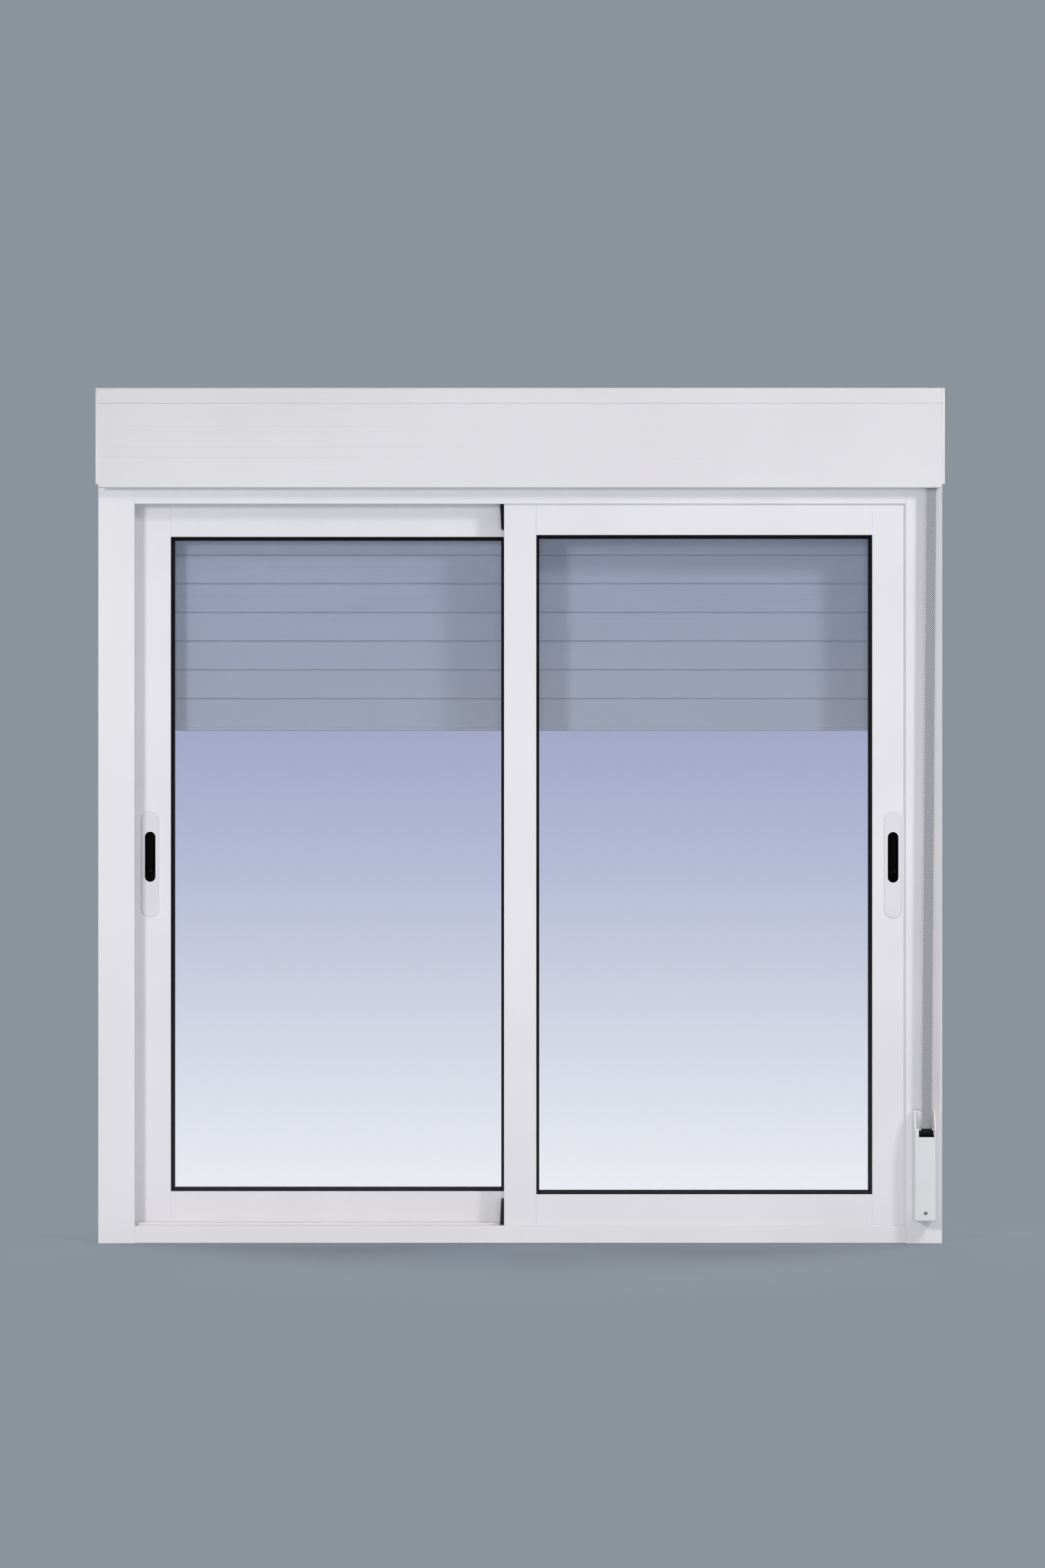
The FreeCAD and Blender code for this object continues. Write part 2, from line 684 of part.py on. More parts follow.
# End caps with a bearing for the roller
flange_room = STRAP_WIDTH / 2 + STRAP_ROOM + FLANGE
pulley_x = (strap_top_x - flange_room, strap_top_x + flange_room)
bearing = half - BEARING_WALL
for name, sign, boss in (("left", -1, BOSS_LENGTH), ("right", 1, cap_inner - pulley_x[1] - BOSS_GAP)):
    plate = rect(box_front, box_back, box_bottom, box_top, BOX_ROUND)
    cap = along_x(plate, sign * cap_inner, sign * half)
    cap = cap.fuse(rod_x(roll_y, roll_z, BOSS_RADIUS, sign * (cap_inner - boss), sign * cap_inner))
    hole = (sign * (cap_inner - boss - PAST), sign * bearing)
    cap = cap.cut(rod_x(roll_y, roll_z, PIN_RADIUS + TURN_CLEAR, *hole))
    pieces["box_" + name + "_cap"] = cap.removeSplitter()


def octagon(flats, x0, x1):
    """Eight-sided prism along X round the roller axis."""
    r = flats / 2 / math.cos(math.pi / 8)
    turn = [math.pi / 8 + i * math.pi / 4 for i in range(8)]
    corners = [(roll_y + r * math.cos(a), roll_z + r * math.sin(a)) for a in turn]
    return along_x(corners, x0, x1)


tube_x = (BOSS_LENGTH + BOSS_GAP - cap_inner, pulley_x[0] - PULLEY_GAP)
pin_end = bearing - PIN_END_GAP
tube = octagon(TUBE_FLATS, *tube_x)
tube = tube.cut(octagon(TUBE_FLATS - 2 * TUBE_WALL, tube_x[0] + TUBE_PLUG, tube_x[1] - TUBE_PLUG))
tube = tube.fuse(rod_x(roll_y, roll_z, PIN_RADIUS, -pin_end, tube_x[0] + TUBE_PLUG / 2))
tube = tube.fuse(rod_x(roll_y, roll_z, PIN_RADIUS, tube_x[1] - TUBE_PLUG / 2, pin_end))
pieces["roller_tube"] = tube.removeSplitter()
roll = rod_x(roll_y, roll_z, ROLL_RADIUS, -slat_half, slat_half)
seat = octagon(TUBE_FLATS + 2 * TUBE_FIT, -slat_half - PAST, slat_half + PAST)
pieces["rolled_curtain"] = roll.cut(seat)
pulley_core = roll_y - strap_y - STRAP_THICK / 2 - STRAP_GAP
pulley = rod_x(roll_y, roll_z, pulley_core, *pulley_x)
for x0 in (pulley_x[0], pulley_x[1] - FLANGE):
    pulley = pulley.fuse(rod_x(roll_y, roll_z, pulley_core + FLANGE_RISE, x0, x0 + FLANGE))
hole = (pulley_x[0] - PAST, pulley_x[1] + PAST)
pulley = pulley.cut(rod_x(roll_y, roll_z, PIN_RADIUS + TURN_CLEAR, *hole))
pieces["strap_pulley"] = pulley.removeSplitter()

# Hung part of the curtain: slats with a tongue that enters the groove of the next
h = SLAT_THICK / 2


def slat_corners(height, groove):
    """Slat section, flat towards the room and crowned outdoors, with y across it."""
    corners = [
        (-h, SLAT_GAP, -SLAT_BEVEL),
        (-h, height, -SLAT_BEVEL),
        (-TONGUE / 2, height),
        (-TONGUE / 2, height + TONGUE_LENGTH),
        (TONGUE / 2, height + TONGUE_LENGTH),
        (TONGUE / 2, height),
        (h - SLAT_BEVEL, height),
        (h, height - SLAT_BEVEL),
        (h + SLAT_BULGE, height / 2, SLAT_CROWN),
        (h, SLAT_GAP + SLAT_BEVEL),
        (h - SLAT_BEVEL, SLAT_GAP),
    ]
    if groove:
        roof = SLAT_GAP + GROOVE_DEPTH
        corners += [(GROOVE / 2, SLAT_GAP), (GROOVE / 2, roof), (-GROOVE / 2, roof), (-GROOVE / 2, SLAT_GAP)]
    return corners


slat_base = CURTAIN_BOTTOM + BOTTOM_BAR
count = math.ceil((roll_z - slat_base) / SLAT_PITCH)
slats = []
for i in range(count):
    place = lambda y, z: (curtain_y + y, slat_base + i * SLAT_PITCH + z)
    slats.append(along_x(moved(slat_corners(SLAT_PITCH, True), place), -slat_half, slat_half))
pieces["shutter_slats"] = together(slats)
place = lambda y, z: (curtain_y + y, CURTAIN_BOTTOM + z)
foot = rect(-h - FOOT_PROUD, h + FOOT_PROUD, 0.0, FOOT_HEIGHT, FOOT_ROUND)
bar = along_x(moved(slat_corners(BOTTOM_BAR, False), place), -slat_half, slat_half)
bar = bar.fuse(along_x(moved(foot, place), -slat_half, slat_half))
pieces["shutter_bottom_bar"] = bar.removeSplitter()

# Strap: straight and taut from the pulley to the drum in the middle of the winder
strap_end = WINDER_BOTTOM + WINDER_HEIGHT / 2
w = STRAP_WIDTH / 2
strap = [
    (strap_low_x - w, strap_end),
    (strap_low_x + w, strap_end),
    (strap_top_x + w, roll_z),
    (strap_top_x - w, roll_z),
]
pieces["shutter_strap"] = along_y(strap, strap_y - STRAP_THICK / 2, strap_y + STRAP_THICK / 2)

# Winder: a tray with two cheeks, a front cover with a notch, and a guide roller
roller_y = strap_y - STRAP_THICK / 2 - STRAP_GAP - ROLLER_RADIUS
slot_low_z = winder_top - WINDER_SLOT_DROP
cover_top = slot_low_z + WINDER_SLOT
roller_z = slot_low_z + WINDER_SLOT / 2 - ROLLER_DROP
cover_back = winder_front + WINDER_WALL
sides = (winder_x - WINDER_WIDTH / 2, winder_x + WINDER_WIDTH / 2)
tray = along_y(rect(*sides, WINDER_BOTTOM, winder_top, TRAY_ROUND), front - WINDER_WALL, front)
cheek = [
    (front, WINDER_BOTTOM),
    (front, winder_top - TRAY_ROUND),
    (front - WINDER_WALL, winder_top - TRAY_ROUND / 4),
    (front - SHOULDER, winder_top, SHOULDER_ROUND),
    (cover_back, cover_top, CHEEK_ROUND),
    (cover_back, WINDER_BOTTOM),
]
for x0 in (sides[0], sides[1] - WINDER_WALL):
    tray = tray.fuse(along_x(cheek, x0, x0 + WINDER_WALL))
tray = tray.fuse(block(*sides, front, cover_back, WINDER_BOTTOM, WINDER_BOTTOM + WINDER_WALL))
stub = WINDER_WALL + ROLLER_SEAT_LENGTH
for x, inward in ((sides[0], 1), (sides[1], -1)):
    tray = tray.fuse(rod_x(roller_y, roller_z, ROLLER_SEAT, x, x + inward * stub))
pieces["winder_tray"] = tray.removeSplitter()
cover = along_y(rect(*sides, WINDER_BOTTOM, cover_top, COVER_ROUND), winder_front, cover_back)
lip = [e for e in cover.Edges if abs(e.CenterOfMass.y - winder_front) < 0.01]
cover = cover.makeFillet(COVER_EDGE, lip)
notch = WINDER_WIDTH / 2 - WINDER_WALL - NOTCH_SIDE
notch_x = winder_x + NOTCH_SHIFT
cut = block(notch_x - notch, notch_x + notch, winder_front - PAST, cover_back + PAST, slot_low_z, cover_top + PAST)
pieces["winder_cover"] = cover.cut(cut)
span = WINDER_WIDTH / 2 - stub - ROLLER_END_GAP
pieces["winder_roller"] = rod_x(roller_y, roller_z, ROLLER_RADIUS, winder_x - span, winder_x + span)

for name, shape in pieces.items():
    solids = shape.Solids
    if not shape.isValid() or not solids:
        raise ValueError("bad shape: " + name)
    if len(solids) == 1:
        shape = solids[0]
    shape.exportStep("parts/" + name + ".step")
print(len(pieces), "pieces")
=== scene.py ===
# %% [markdown]
# A sliding window with its roller shutter, seen from the room. The solids come packed, so this
# lesson doesn't model the frame again: it gives each solid the finish of the real one, adds the
# small pieces that are quicker to make as meshes, and sets up the studio. The first cell loads
# the solids.

# %% Load the imported solids
import math
import random

import bmesh
import bpy
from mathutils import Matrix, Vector


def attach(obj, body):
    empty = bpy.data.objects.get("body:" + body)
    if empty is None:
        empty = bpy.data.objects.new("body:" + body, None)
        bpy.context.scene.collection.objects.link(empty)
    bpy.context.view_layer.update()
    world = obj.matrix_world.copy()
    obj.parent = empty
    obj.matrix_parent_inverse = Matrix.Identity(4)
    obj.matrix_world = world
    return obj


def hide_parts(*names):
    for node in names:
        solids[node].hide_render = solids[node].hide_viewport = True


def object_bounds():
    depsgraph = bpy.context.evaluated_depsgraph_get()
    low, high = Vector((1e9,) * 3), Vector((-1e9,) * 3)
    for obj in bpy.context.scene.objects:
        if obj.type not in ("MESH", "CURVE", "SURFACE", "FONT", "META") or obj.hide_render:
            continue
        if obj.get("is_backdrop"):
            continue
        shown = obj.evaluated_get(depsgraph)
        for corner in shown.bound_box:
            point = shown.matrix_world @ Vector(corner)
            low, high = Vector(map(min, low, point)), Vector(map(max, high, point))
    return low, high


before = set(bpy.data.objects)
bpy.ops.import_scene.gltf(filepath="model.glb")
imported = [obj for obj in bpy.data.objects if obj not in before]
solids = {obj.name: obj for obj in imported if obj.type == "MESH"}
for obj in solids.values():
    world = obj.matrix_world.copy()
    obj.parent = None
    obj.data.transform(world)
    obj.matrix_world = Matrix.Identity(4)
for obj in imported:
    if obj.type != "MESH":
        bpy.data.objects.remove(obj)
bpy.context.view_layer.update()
MM = 0.001
scene = bpy.context.scene
scene.view_settings.view_transform = "Standard"

# %% [markdown]
# The camera stands level in front of the window, as a catalogue photographer's does, so that the
# uprights stay parallel. How fast things shrink with depth tells the distance: the rear sash
# looks a little smaller than the front one. With the distance known, the focal length follows
# from how much of the picture's width the frame fills.

# %% Camera
EYE = Vector((0.0033, -4.435, 0.6528))
PICTURE = (1568, 2352)
FRAME_FRONT = -35.2 * MM
MM_PER_PIXEL = 0.9474
SENSOR = 36.0

camera = bpy.data.cameras.new("camera")
camera.sensor_fit = "HORIZONTAL"
camera.sensor_width = SENSOR
view_width = PICTURE[0] * MM_PER_PIXEL * MM
camera.lens = SENSOR * (FRAME_FRONT - EYE.y) / view_width
viewer = bpy.data.objects.new("camera", camera)
viewer.location = EYE
viewer.rotation_euler = (math.pi / 2, 0.0, 0.0)
scene.collection.objects.link(viewer)
scene.camera = viewer
print("lens", round(camera.lens, 2), "mm")

# %% [markdown]
# Finishes are built from nodes, and most of a finish is arithmetic: this noise times that
# mask. Wiring Math nodes one by one hides the formula, so one small class wraps a socket and
# lets Python's operators add the nodes. Colours need Mix nodes, because a Math node would turn
# them grey. Any other node comes from one method: its settings first, then its sockets.


# %% Sockets as Python values
class Field:
    """A node tree, and one output socket of it that can be calculated with."""

    def __init__(self, tree, socket=None):
        self.tree = tree
        self.socket = socket

    def node(self, kind, settings=None, sockets=None, output=0):
        made = self.tree.nodes.new("ShaderNode" + kind)
        for key, value in (settings or {}).items():
            if key == "stops":
                ramp = made.color_ramp.elements
                while len(ramp) < len(value):
                    ramp.new(0.5)
                for element, (position, colour) in zip(ramp, value):
                    element.position = position
                    element.color = colour
            else:
                setattr(made, key, value)
        for key, value in (sockets or {}).items():
            if isinstance(value, Field):
                self.tree.links.new(value.socket, made.inputs[key])
            else:
                made.inputs[key].default_value = value
        return Field(self.tree, made.outputs[output] if made.outputs else None)

    def math(self, operation, *values):
        return self.node("Math", {"operation": operation}, dict(enumerate(values)))

    def __add__(self, other):
        return self.math("ADD", self, other)

    def __sub__(self, other):
        return self.math("SUBTRACT", self, other)

    def __rsub__(self, other):
        return self.math("SUBTRACT", other, self)

    def __mul__(self, other):
        return self.math("MULTIPLY", self, other)

    def __truediv__(self, other):
        return self.math("DIVIDE", self, other)

    __radd__ = __add__
    __rmul__ = __mul__

    def between(self, low, high):
        """0 below low, 1 above high, and smooth in between."""
        sockets = {"Value": self, "From Min": low, "From Max": high}
        return self.node("MapRange", {"interpolation_type": "SMOOTHSTEP"}, sockets)

    def blend(self, low, high):
        """A colour that goes from low to high as this value goes from 0 to 1."""
        return self.node("Mix", {"data_type": "RGBA"}, {0: self, 6: low, 7: high}, output=2)


def tint(red, green, blue):
    """Linear colour from the screen values of 0 to 255 that a colour picker shows."""
    linear = []
    for value in (red, green, blue):
        v = value / 255
        linear.append(v / 12.92 if v <= 0.04045 else ((v + 0.055) / 1.055) ** 2.4)
    return (*linear, 1.0)


def new_finish(name):
    """An empty material, and a Field on its node tree."""
    material = bpy.data.materials.new(name)
    material.use_nodes = True
    material.node_tree.nodes.clear()
    return material, Field(material.node_tree)


def noise(place, scale, detail=2.0):
    return place.node("TexNoise", None, {"Vector": place, "Scale": scale, "Detail": detail})


def stretched(place, scales):
    return place.node("Mapping", None, {"Vector": place, "Scale": scales})


def relief(height, strength, depth):
    return height.node("Bump", None, {"Strength": strength, "Distance": depth, "Height": height})


def surface(tree, **sockets):
    """A Principled shader on the material's output; a name's underscores stand for spaces."""
    named = {key.replace("_", " "): value for key, value in sockets.items()}
    shader = tree.node("BsdfPrincipled", None, named)
    tree.node("OutputMaterial", None, {"Surface": shader})
    return shader


def position(tree):
    """The place on the object in metres, the same in every view."""
    return tree.node("TexCoord", output="Object")


def dust_on(tree, place):
    """Where a little dust would lie: on faces that look up, in soft patches."""
    facing = tree.node("NewGeometry", output="Normal")
    up = tree.node("SeparateXYZ", None, {0: facing}, output="Z")
    return up.between(0.55, 1.0) * noise(place, 45.0, 4.0).between(0.3, 0.75)


def wear(finish, *names):
    """Put a finish on CAD solids."""
    for name in names:
        solids[name].material_slots[0].material = finish
    return len(names)


print("Field ready, mid grey is", round(tint(128, 128, 128)[0], 3))

# %% [markdown]
# The frame and the sashes are aluminium bars pushed through a die and then powder coated.
# Close up the coat has an orange-peel skin of about a millimetre, and under it the die's
# lines still run the length of the bar. A single noise could be stretched for all of them,
# but the lines have to follow each bar, so there is one finish for uprights and one for
# level bars, made by one function that is told which way the bar runs.

# %% Powder-coated aluminium
COAT_LOW = tint(225, 223, 227)
COAT_HIGH = tint(231, 229, 233)
DUST = tint(196, 193, 190)
PEEL_SCALE = 820.0
LINE_SCALE = 1500.0
RUN_SCALE = 3.0


def powder_coat(name, run):
    """White powder coat on a bar that runs along axis 0 (X) or 2 (Z)."""
    finish, tree = new_finish(name)
    place = position(tree)
    scales = [LINE_SCALE] * 3
    scales[run] = RUN_SCALE
    lines = noise(stretched(place, scales), 1.0, 1.0)
    peel = noise(place, PEEL_SCALE, 2.0)
    clouds = noise(place, 5.0, 3.0)
    shade = (0.9 * clouds + 0.1 * lines).between(0.25, 0.75)
    coat = shade.blend(COAT_LOW, COAT_HIGH)
    dust = 0.35 * dust_on(tree, place)
    surface(
        tree,
        Base_Color=dust.blend(coat, DUST),
        Roughness=0.3 + 0.12 * peel + 0.25 * dust,
        Normal=relief(0.8 * peel + 0.2 * lines, 0.10, 0.12 * MM),
    )
    return finish


upright_coat = powder_coat("powder_coat_upright", 2)
level_coat = powder_coat("powder_coat_level", 0)
uprights = ["left_jamb", "right_jamb", "left_shutter_guide", "right_shutter_guide"]
levels = ["frame_head", "frame_sill"]
for side in ("left_", "right_"):
    uprights += [side + "lock_stile", side + "meeting_stile"]
    levels += [side + "top_rail", side + "bottom_rail"]
upright_count = wear(upright_coat, *uprights)
level_count = wear(level_coat, *levels)
print(upright_count, "uprights and", level_count, "level bars coated")

# %% [markdown]
# The shutter box is drawn from white plastic. Its lid shows three faint lines along its
# length, where ribs inside have sunk a little as the plastic cooled. Cutting grooves in the
# solid would be far too coarse for them: they are a few hundredths of a millimetre deep. So
# the finish finds them by height and feeds them to the bump and to a touch of painted shade.

# %% Drawn plastic of the shutter box
RIB_HEIGHTS = (1.1580, 1.1290, 1.1140)
RIB_HALF = 1.3 * MM
RIB_FADE = (-0.45, 0.15)
BOX_LOW = tint(221, 218, 222)
BOX_HIGH = tint(227, 225, 229)


def drawn_plastic(name, ribs):
    finish, tree = new_finish(name)
    place = position(tree)
    height = tree.node("SeparateXYZ", None, {0: place}, output="Z")
    along = tree.node("SeparateXYZ", None, {0: place}, output="X")
    lines = noise(stretched(place, (2.0, 900.0, 900.0)), 1.0, 2.0)
    haze = noise(place, 620.0, 2.0)
    clouds = noise(place, 4.0, 3.0)
    sunk_and_painted_shade = None
    for rib in ribs:
        away = height.math("ABSOLUTE", height - rib)
        mark = 1.0 - away.between(0.0, RIB_HALF)
        sunk_and_painted_shade = mark if sunk_and_painted_shade is None else sunk_and_painted_shade + mark
    shade = (0.7 * clouds + 0.3 * lines).between(0.25, 0.75)
    plastic = shade.blend(BOX_LOW, BOX_HIGH)
    skin = 0.35 * lines + 0.25 * haze
    dust = 0.25 * dust_on(tree, place)
    if sunk_and_painted_shade is not None:
        sunk_and_painted_shade = sunk_and_painted_shade * (1.0 - along.between(*RIB_FADE))
        # painted shade: the colour goes a little darker along the dented lines
        plastic = (0.16 * sunk_and_painted_shade).blend(plastic, tint(180, 178, 186))
        skin = skin - 2.0 * sunk_and_painted_shade
    surface(
        tree,
        Base_Color=dust.blend(plastic, DUST),
        Roughness=0.34 + 0.14 * haze + 0.25 * dust,
        Normal=relief(skin, 0.18, 0.1 * MM),
    )
    return finish


lid_plastic = drawn_plastic("box_plastic_ribbed", RIB_HEIGHTS)
box_plastic = drawn_plastic("box_plastic", ())
wear(lid_plastic, "box_lid")
box_count = wear(box_plastic, "box_top_profile", "box_base_profile", "box_back_profile")
print("lid with", len(RIB_HEIGHTS), "lines, and", box_count, "plain profiles")

# %% [markdown]
# End caps, winder and its cover are moulded, not drawn: their skin has a fine spark-eroded
# grain with no direction, and a slightly warmer white. The shutter's slats are rolled from
# enamelled strip, so their lines run along X and their sheen is a little tighter. Towards the
# bottom bar they are a little rougher, and painted lighter and warmer: a painted haze of reflected
# light.

# %% Moulded plastic and slat enamel
PAINTED_HAZE_BAND = (0.74, 0.94)


def moulded_white(name, low, high, rough):
    finish, tree = new_finish(name)
    place = position(tree)
    grain = noise(place, 1900.0, 3.0)
    clouds = noise(place, 14.0, 3.0)
    dust = 0.4 * dust_on(tree, place)
    surface(
        tree,
        Base_Color=dust.blend(clouds.between(0.3, 0.7).blend(low, high), DUST),
        Roughness=rough + 0.12 * grain + 0.2 * dust,
        Normal=relief(grain, 0.12, 0.08 * MM),
    )
    return finish


def slat_enamel(name):
    finish, tree = new_finish(name)
    place = position(tree)
    lines = noise(stretched(place, (1.5, 700.0, 700.0)), 1.0, 2.0)
    oil_can = noise(stretched(place, (5.0, 40.0, 40.0)), 1.0, 2.0)
    shade = (0.6 * lines + 0.4 * oil_can).between(0.3, 0.7)
    fresh = shade.blend(tint(204, 201, 200), tint(212, 209, 208))
    height = tree.node("SeparateXYZ", None, {0: place}, output="Z")
    # painted haze of reflected light: the lower slats are painted lighter and warmer, and made a
    # little rougher
    low_painted_haze = 1.0 - height.between(*PAINTED_HAZE_BAND)
    enamel_with_painted_haze = (low_painted_haze * (0.85 + 0.15 * oil_can)).blend(fresh, tint(218, 211, 201))
    dust = 0.45 * dust_on(tree, place)
    surface(
        tree,
        Base_Color=dust.blend(enamel_with_painted_haze, DUST),
        Roughness=0.36 + 0.16 * lines + 0.2 * dust + 0.06 * low_painted_haze,
        Normal=relief(0.3 * lines + 0.7 * oil_can, 0.10, 0.4 * MM),
    )
    return finish


cap_plastic = moulded_white("cap_plastic", tint(222, 220, 225), tint(227, 225, 229), 0.34)
winder_plastic = moulded_white("winder_plastic", tint(219, 218, 220), tint(225, 224, 226), 0.30)
enamel = slat_enamel("slat_enamel")
plate_plastic = moulded_white("plate_plastic", tint(217, 215, 220), tint(222, 220, 225), 0.36)
wear(cap_plastic, "box_left_cap", "box_right_cap")
wear(plate_plastic, "left_handle_plate", "right_handle_plate")
wear(winder_plastic, "winder_tray", "winder_cover")
wear(enamel, "shutter_slats", "shutter_bottom_bar", "rolled_curtain")
print("caps, winder and curtain finished")

# %% [markdown]
# Each sash holds two panes with a sealed gap. A real glass shader bends light, and the light
# that reaches the slats would then have to find its way through four surfaces by luck. So
# for shadow rays and diffuse rays the glass is plainly see-through with a little loss, and for
# all others it is glass: bluish in its depth, with slow, very shallow waves.

# %% Glass
GLASS_TINT = (0.858, 0.892, 0.962, 1.0)
GLASS_SHADOW = (0.889, 0.907, 0.942, 1.0)
GLASS_IOR = 1.5

glass, tree = new_finish("float_glass")
place = position(tree)
waves = noise(place, 3.0, 1.0)
pane = tree.node(
    "BsdfPrincipled",
    None,
    {
        "Base Color": GLASS_TINT,
        "Roughness": 0.0,
        "IOR": GLASS_IOR,
        "Transmission Weight": 1.0,
        "Normal": relief(waves, 0.05, 0.3 * MM),
    },
)
clear = tree.node("BsdfTransparent", None, {"Color": GLASS_SHADOW})
is_shadow = tree.node("LightPath", output="Is Shadow Ray")
is_bounce = tree.node("LightPath", output="Is Diffuse Ray")
either = tree.node("MixShader", None, {0: is_bounce, 1: pane, 2: clear})
either = tree.node("MixShader", None, {0: is_shadow, 1: either, 2: clear})
tree.node("OutputMaterial", None, {"Surface": either})
print(wear(glass, "left_glass_panes", "right_glass_panes"), "pairs of panes")

# %% [markdown]
# Rubber gaskets and draught blocks are matt and very dark, with a grey bloom in patches, and
# painted lighter low down as painted reflected light. The thumb slides and the lock case behind
# them are glossy black plastic with a thin clear skin and hairline scratches. The strap has
# rubbed its roller duller, so one function makes both. The spacer is folded aluminium with
# breathing holes, and the shutter's tube is galvanised steel with its frosty spangle.

# %% Rubber, black plastic, spacer and steel
PAINTED_REFLECTION_BAND = (0.05, 0.5)

rubber, tree = new_finish("gasket_rubber")
place = position(tree)
crumb = noise(place, 1400.0, 3.0)
bloom = noise(place, 30.0, 4.0).between(0.4, 0.8)
dark = bloom.blend(tint(9, 9, 11), tint(20, 19, 22))
height = tree.node("SeparateXYZ", None, {0: place}, output="Z")
# painted reflected light: the rubber is painted lighter towards the bottom, more so where the
# bloom is
low_painted_reflection = (1.0 - height.between(*PAINTED_REFLECTION_BAND)) * (0.75 + 0.25 * bloom)
surface(
    tree,
    Base_Color=low_painted_reflection.blend(dark, tint(44, 41, 44)),
    Roughness=0.5 + 0.2 * crumb,
    Specular_IOR_Level=0.1,
    Normal=relief(crumb, 0.25, 0.1 * MM),
)


def black_plastic(name, rough, shine):
    """Scratched black plastic; rough and shine set how wide and how bright its glints are."""
    finish, tree = new_finish(name)
    place = position(tree)
    hairs = noise(stretched(place, (2600.0, 2600.0, 130.0)), 1.0, 2.0).between(0.55, 0.75)
    smear = noise(place, 90.0, 3.0)
    surface(
        tree,
        Base_Color=smear.blend(tint(1, 1, 1), tint(4, 4, 5)),
        Roughness=rough + 0.10 * hairs + 0.08 * smear,
        Specular_IOR_Level=shine,
        Coat_Weight=0.06 - 0.04 * hairs,
        Coat_Roughness=0.08,
        Normal=relief(hairs, 0.05, 0.05 * MM),
    )
    return finish


gloss_black = black_plastic("gloss_black_plastic", 0.14, 0.06)
rubbed_black = black_plastic("rubbed_black_plastic", 0.26, 0.25)

spacer_metal, tree = new_finish("spacer_metal")
place = position(tree)
brushed = noise(stretched(place, (60.0, 3000.0, 60.0)), 1.0, 2.0)
holes = tree.node("TexVoronoi", {"feature": "F1"}, {"Vector": place, "Scale": 260.0})
pierced = 1.0 - holes.between(0.16, 0.24)
folded = brushed.blend(tint(138, 139, 143), tint(165, 166, 170))
surface(
    tree,
    Base_Color=pierced.blend(folded, tint(40, 40, 42)),
    Metallic=0.9 - 0.8 * pierced,
    Roughness=0.34 + 0.15 * brushed,
    Normal=relief(brushed - pierced, 0.2, 0.1 * MM),
)

steel, tree = new_finish("galvanised_steel")
place = position(tree)
crystals = tree.node(
    "TexVoronoi",
    {"feature": "F1"},
    {"Vector": place, "Scale": 140.0},
    output="Color",
)
spangle = tree.node("SeparateXYZ", None, {0: crystals}, output="X")
surface(
    tree,
    Base_Color=spangle.blend(tint(168, 170, 174), tint(202, 204, 207)),
    Metallic=1.0,
    Roughness=0.32 + 0.2 * spangle,
    Normal=relief(spangle, 0.08, 0.05 * MM),
)

grey_plastic, tree = new_finish("wheel_plastic")
place = position(tree)
grain = noise(place, 900.0, 3.0)
surface(
    tree,
    Base_Color=grain.blend(tint(170, 170, 172), tint(186, 186, 188)),
    Roughness=0.42 + 0.2 * grain,
    Normal=relief(grain, 0.15, 0.1 * MM),
)

for side in ("left_", "right_"):
    wear(rubber, side + "glazing_gasket")
    wear(gloss_black, side + "lock_case")
    wear(spacer_metal, side + "glass_spacer")
    wear(grey_plastic, side + "rollers")
wear(rubber, "top_draught_block", "bottom_draught_block")
wear(rubbed_black, "winder_roller")
wear(grey_plastic, "strap_pulley")
wear(steel, "roller_tube")
print("dark and metal finishes on their solids")

# %% [markdown]
# New pieces are meshes made from points and faces. One helper turns lists into an object in
# metres with its normals facing out, hangs it on the frame and gives it its finishes.

# %% Helper for new pieces


def add_piece(name, points, faces, finishes, smooth=True, picks=None):
    """An object from points in metres; picks gives each face the number of its finish."""
    mesh = bpy.data.meshes.new(name)
    mesh.from_pydata([tuple(p) for p in points], [], faces)
    for finish in finishes:
        mesh.materials.append(finish)
    if picks is not None:
        mesh.polygons.foreach_set("material_index", picks)
    work = bmesh.new()
    work.from_mesh(mesh)
    bmesh.ops.remove_doubles(work, verts=work.verts, dist=1e-6)
    bmesh.ops.recalc_face_normals(work, faces=work.faces)
    work.to_mesh(mesh)
    work.free()
    mesh.polygons.foreach_set("use_smooth", [smooth] * len(mesh.polygons))
    piece = bpy.data.objects.new(name, mesh)
    scene.collection.objects.link(piece)
    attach(piece, "root")
    return piece


def tube_faces(rings, count, first=0):
    """Quads between rings of count points each."""
    faces = []
    for r in range(rings - 1):
        for i in range(count):
            a = first + r * count + i
            b = first + r * count + (i + 1) % count
            faces.append((a, b, b + count, a + count))
    return faces


print("helper ready")

# %% [markdown]
# The strap that lifts the shutter is woven: white yarn with dark yarn coming up in a checker
# of nine columns, and a plain white edge on both sides. A bump map would look flat from the
# side and would swim at this size, so every crossing is a small pillow of its own. The back
# shows the other yarn at each crossing and can be plainer, because it faces the jamb.

# %% Yarn
STRAP_TOP = Vector((582.5, -52.2, 1144.5)) * MM
STRAP_LOW = Vector((575.2, -52.2, 114.0)) * MM
STRAP_HALF = 8.0 * MM
SELVAGE = 1.0 * MM
COLUMNS = 9
ROW = 1.556 * MM
FRONT_BASE = -0.35 * MM
BACK_BASE = 0.60 * MM
PILLOW = 0.34 * MM
DARK_PILLOW = 0.26 * MM
RIDGE = 0.14 * MM
EDGE_THIN = -0.1 * MM
EDGE_ROLL = 0.2 * MM


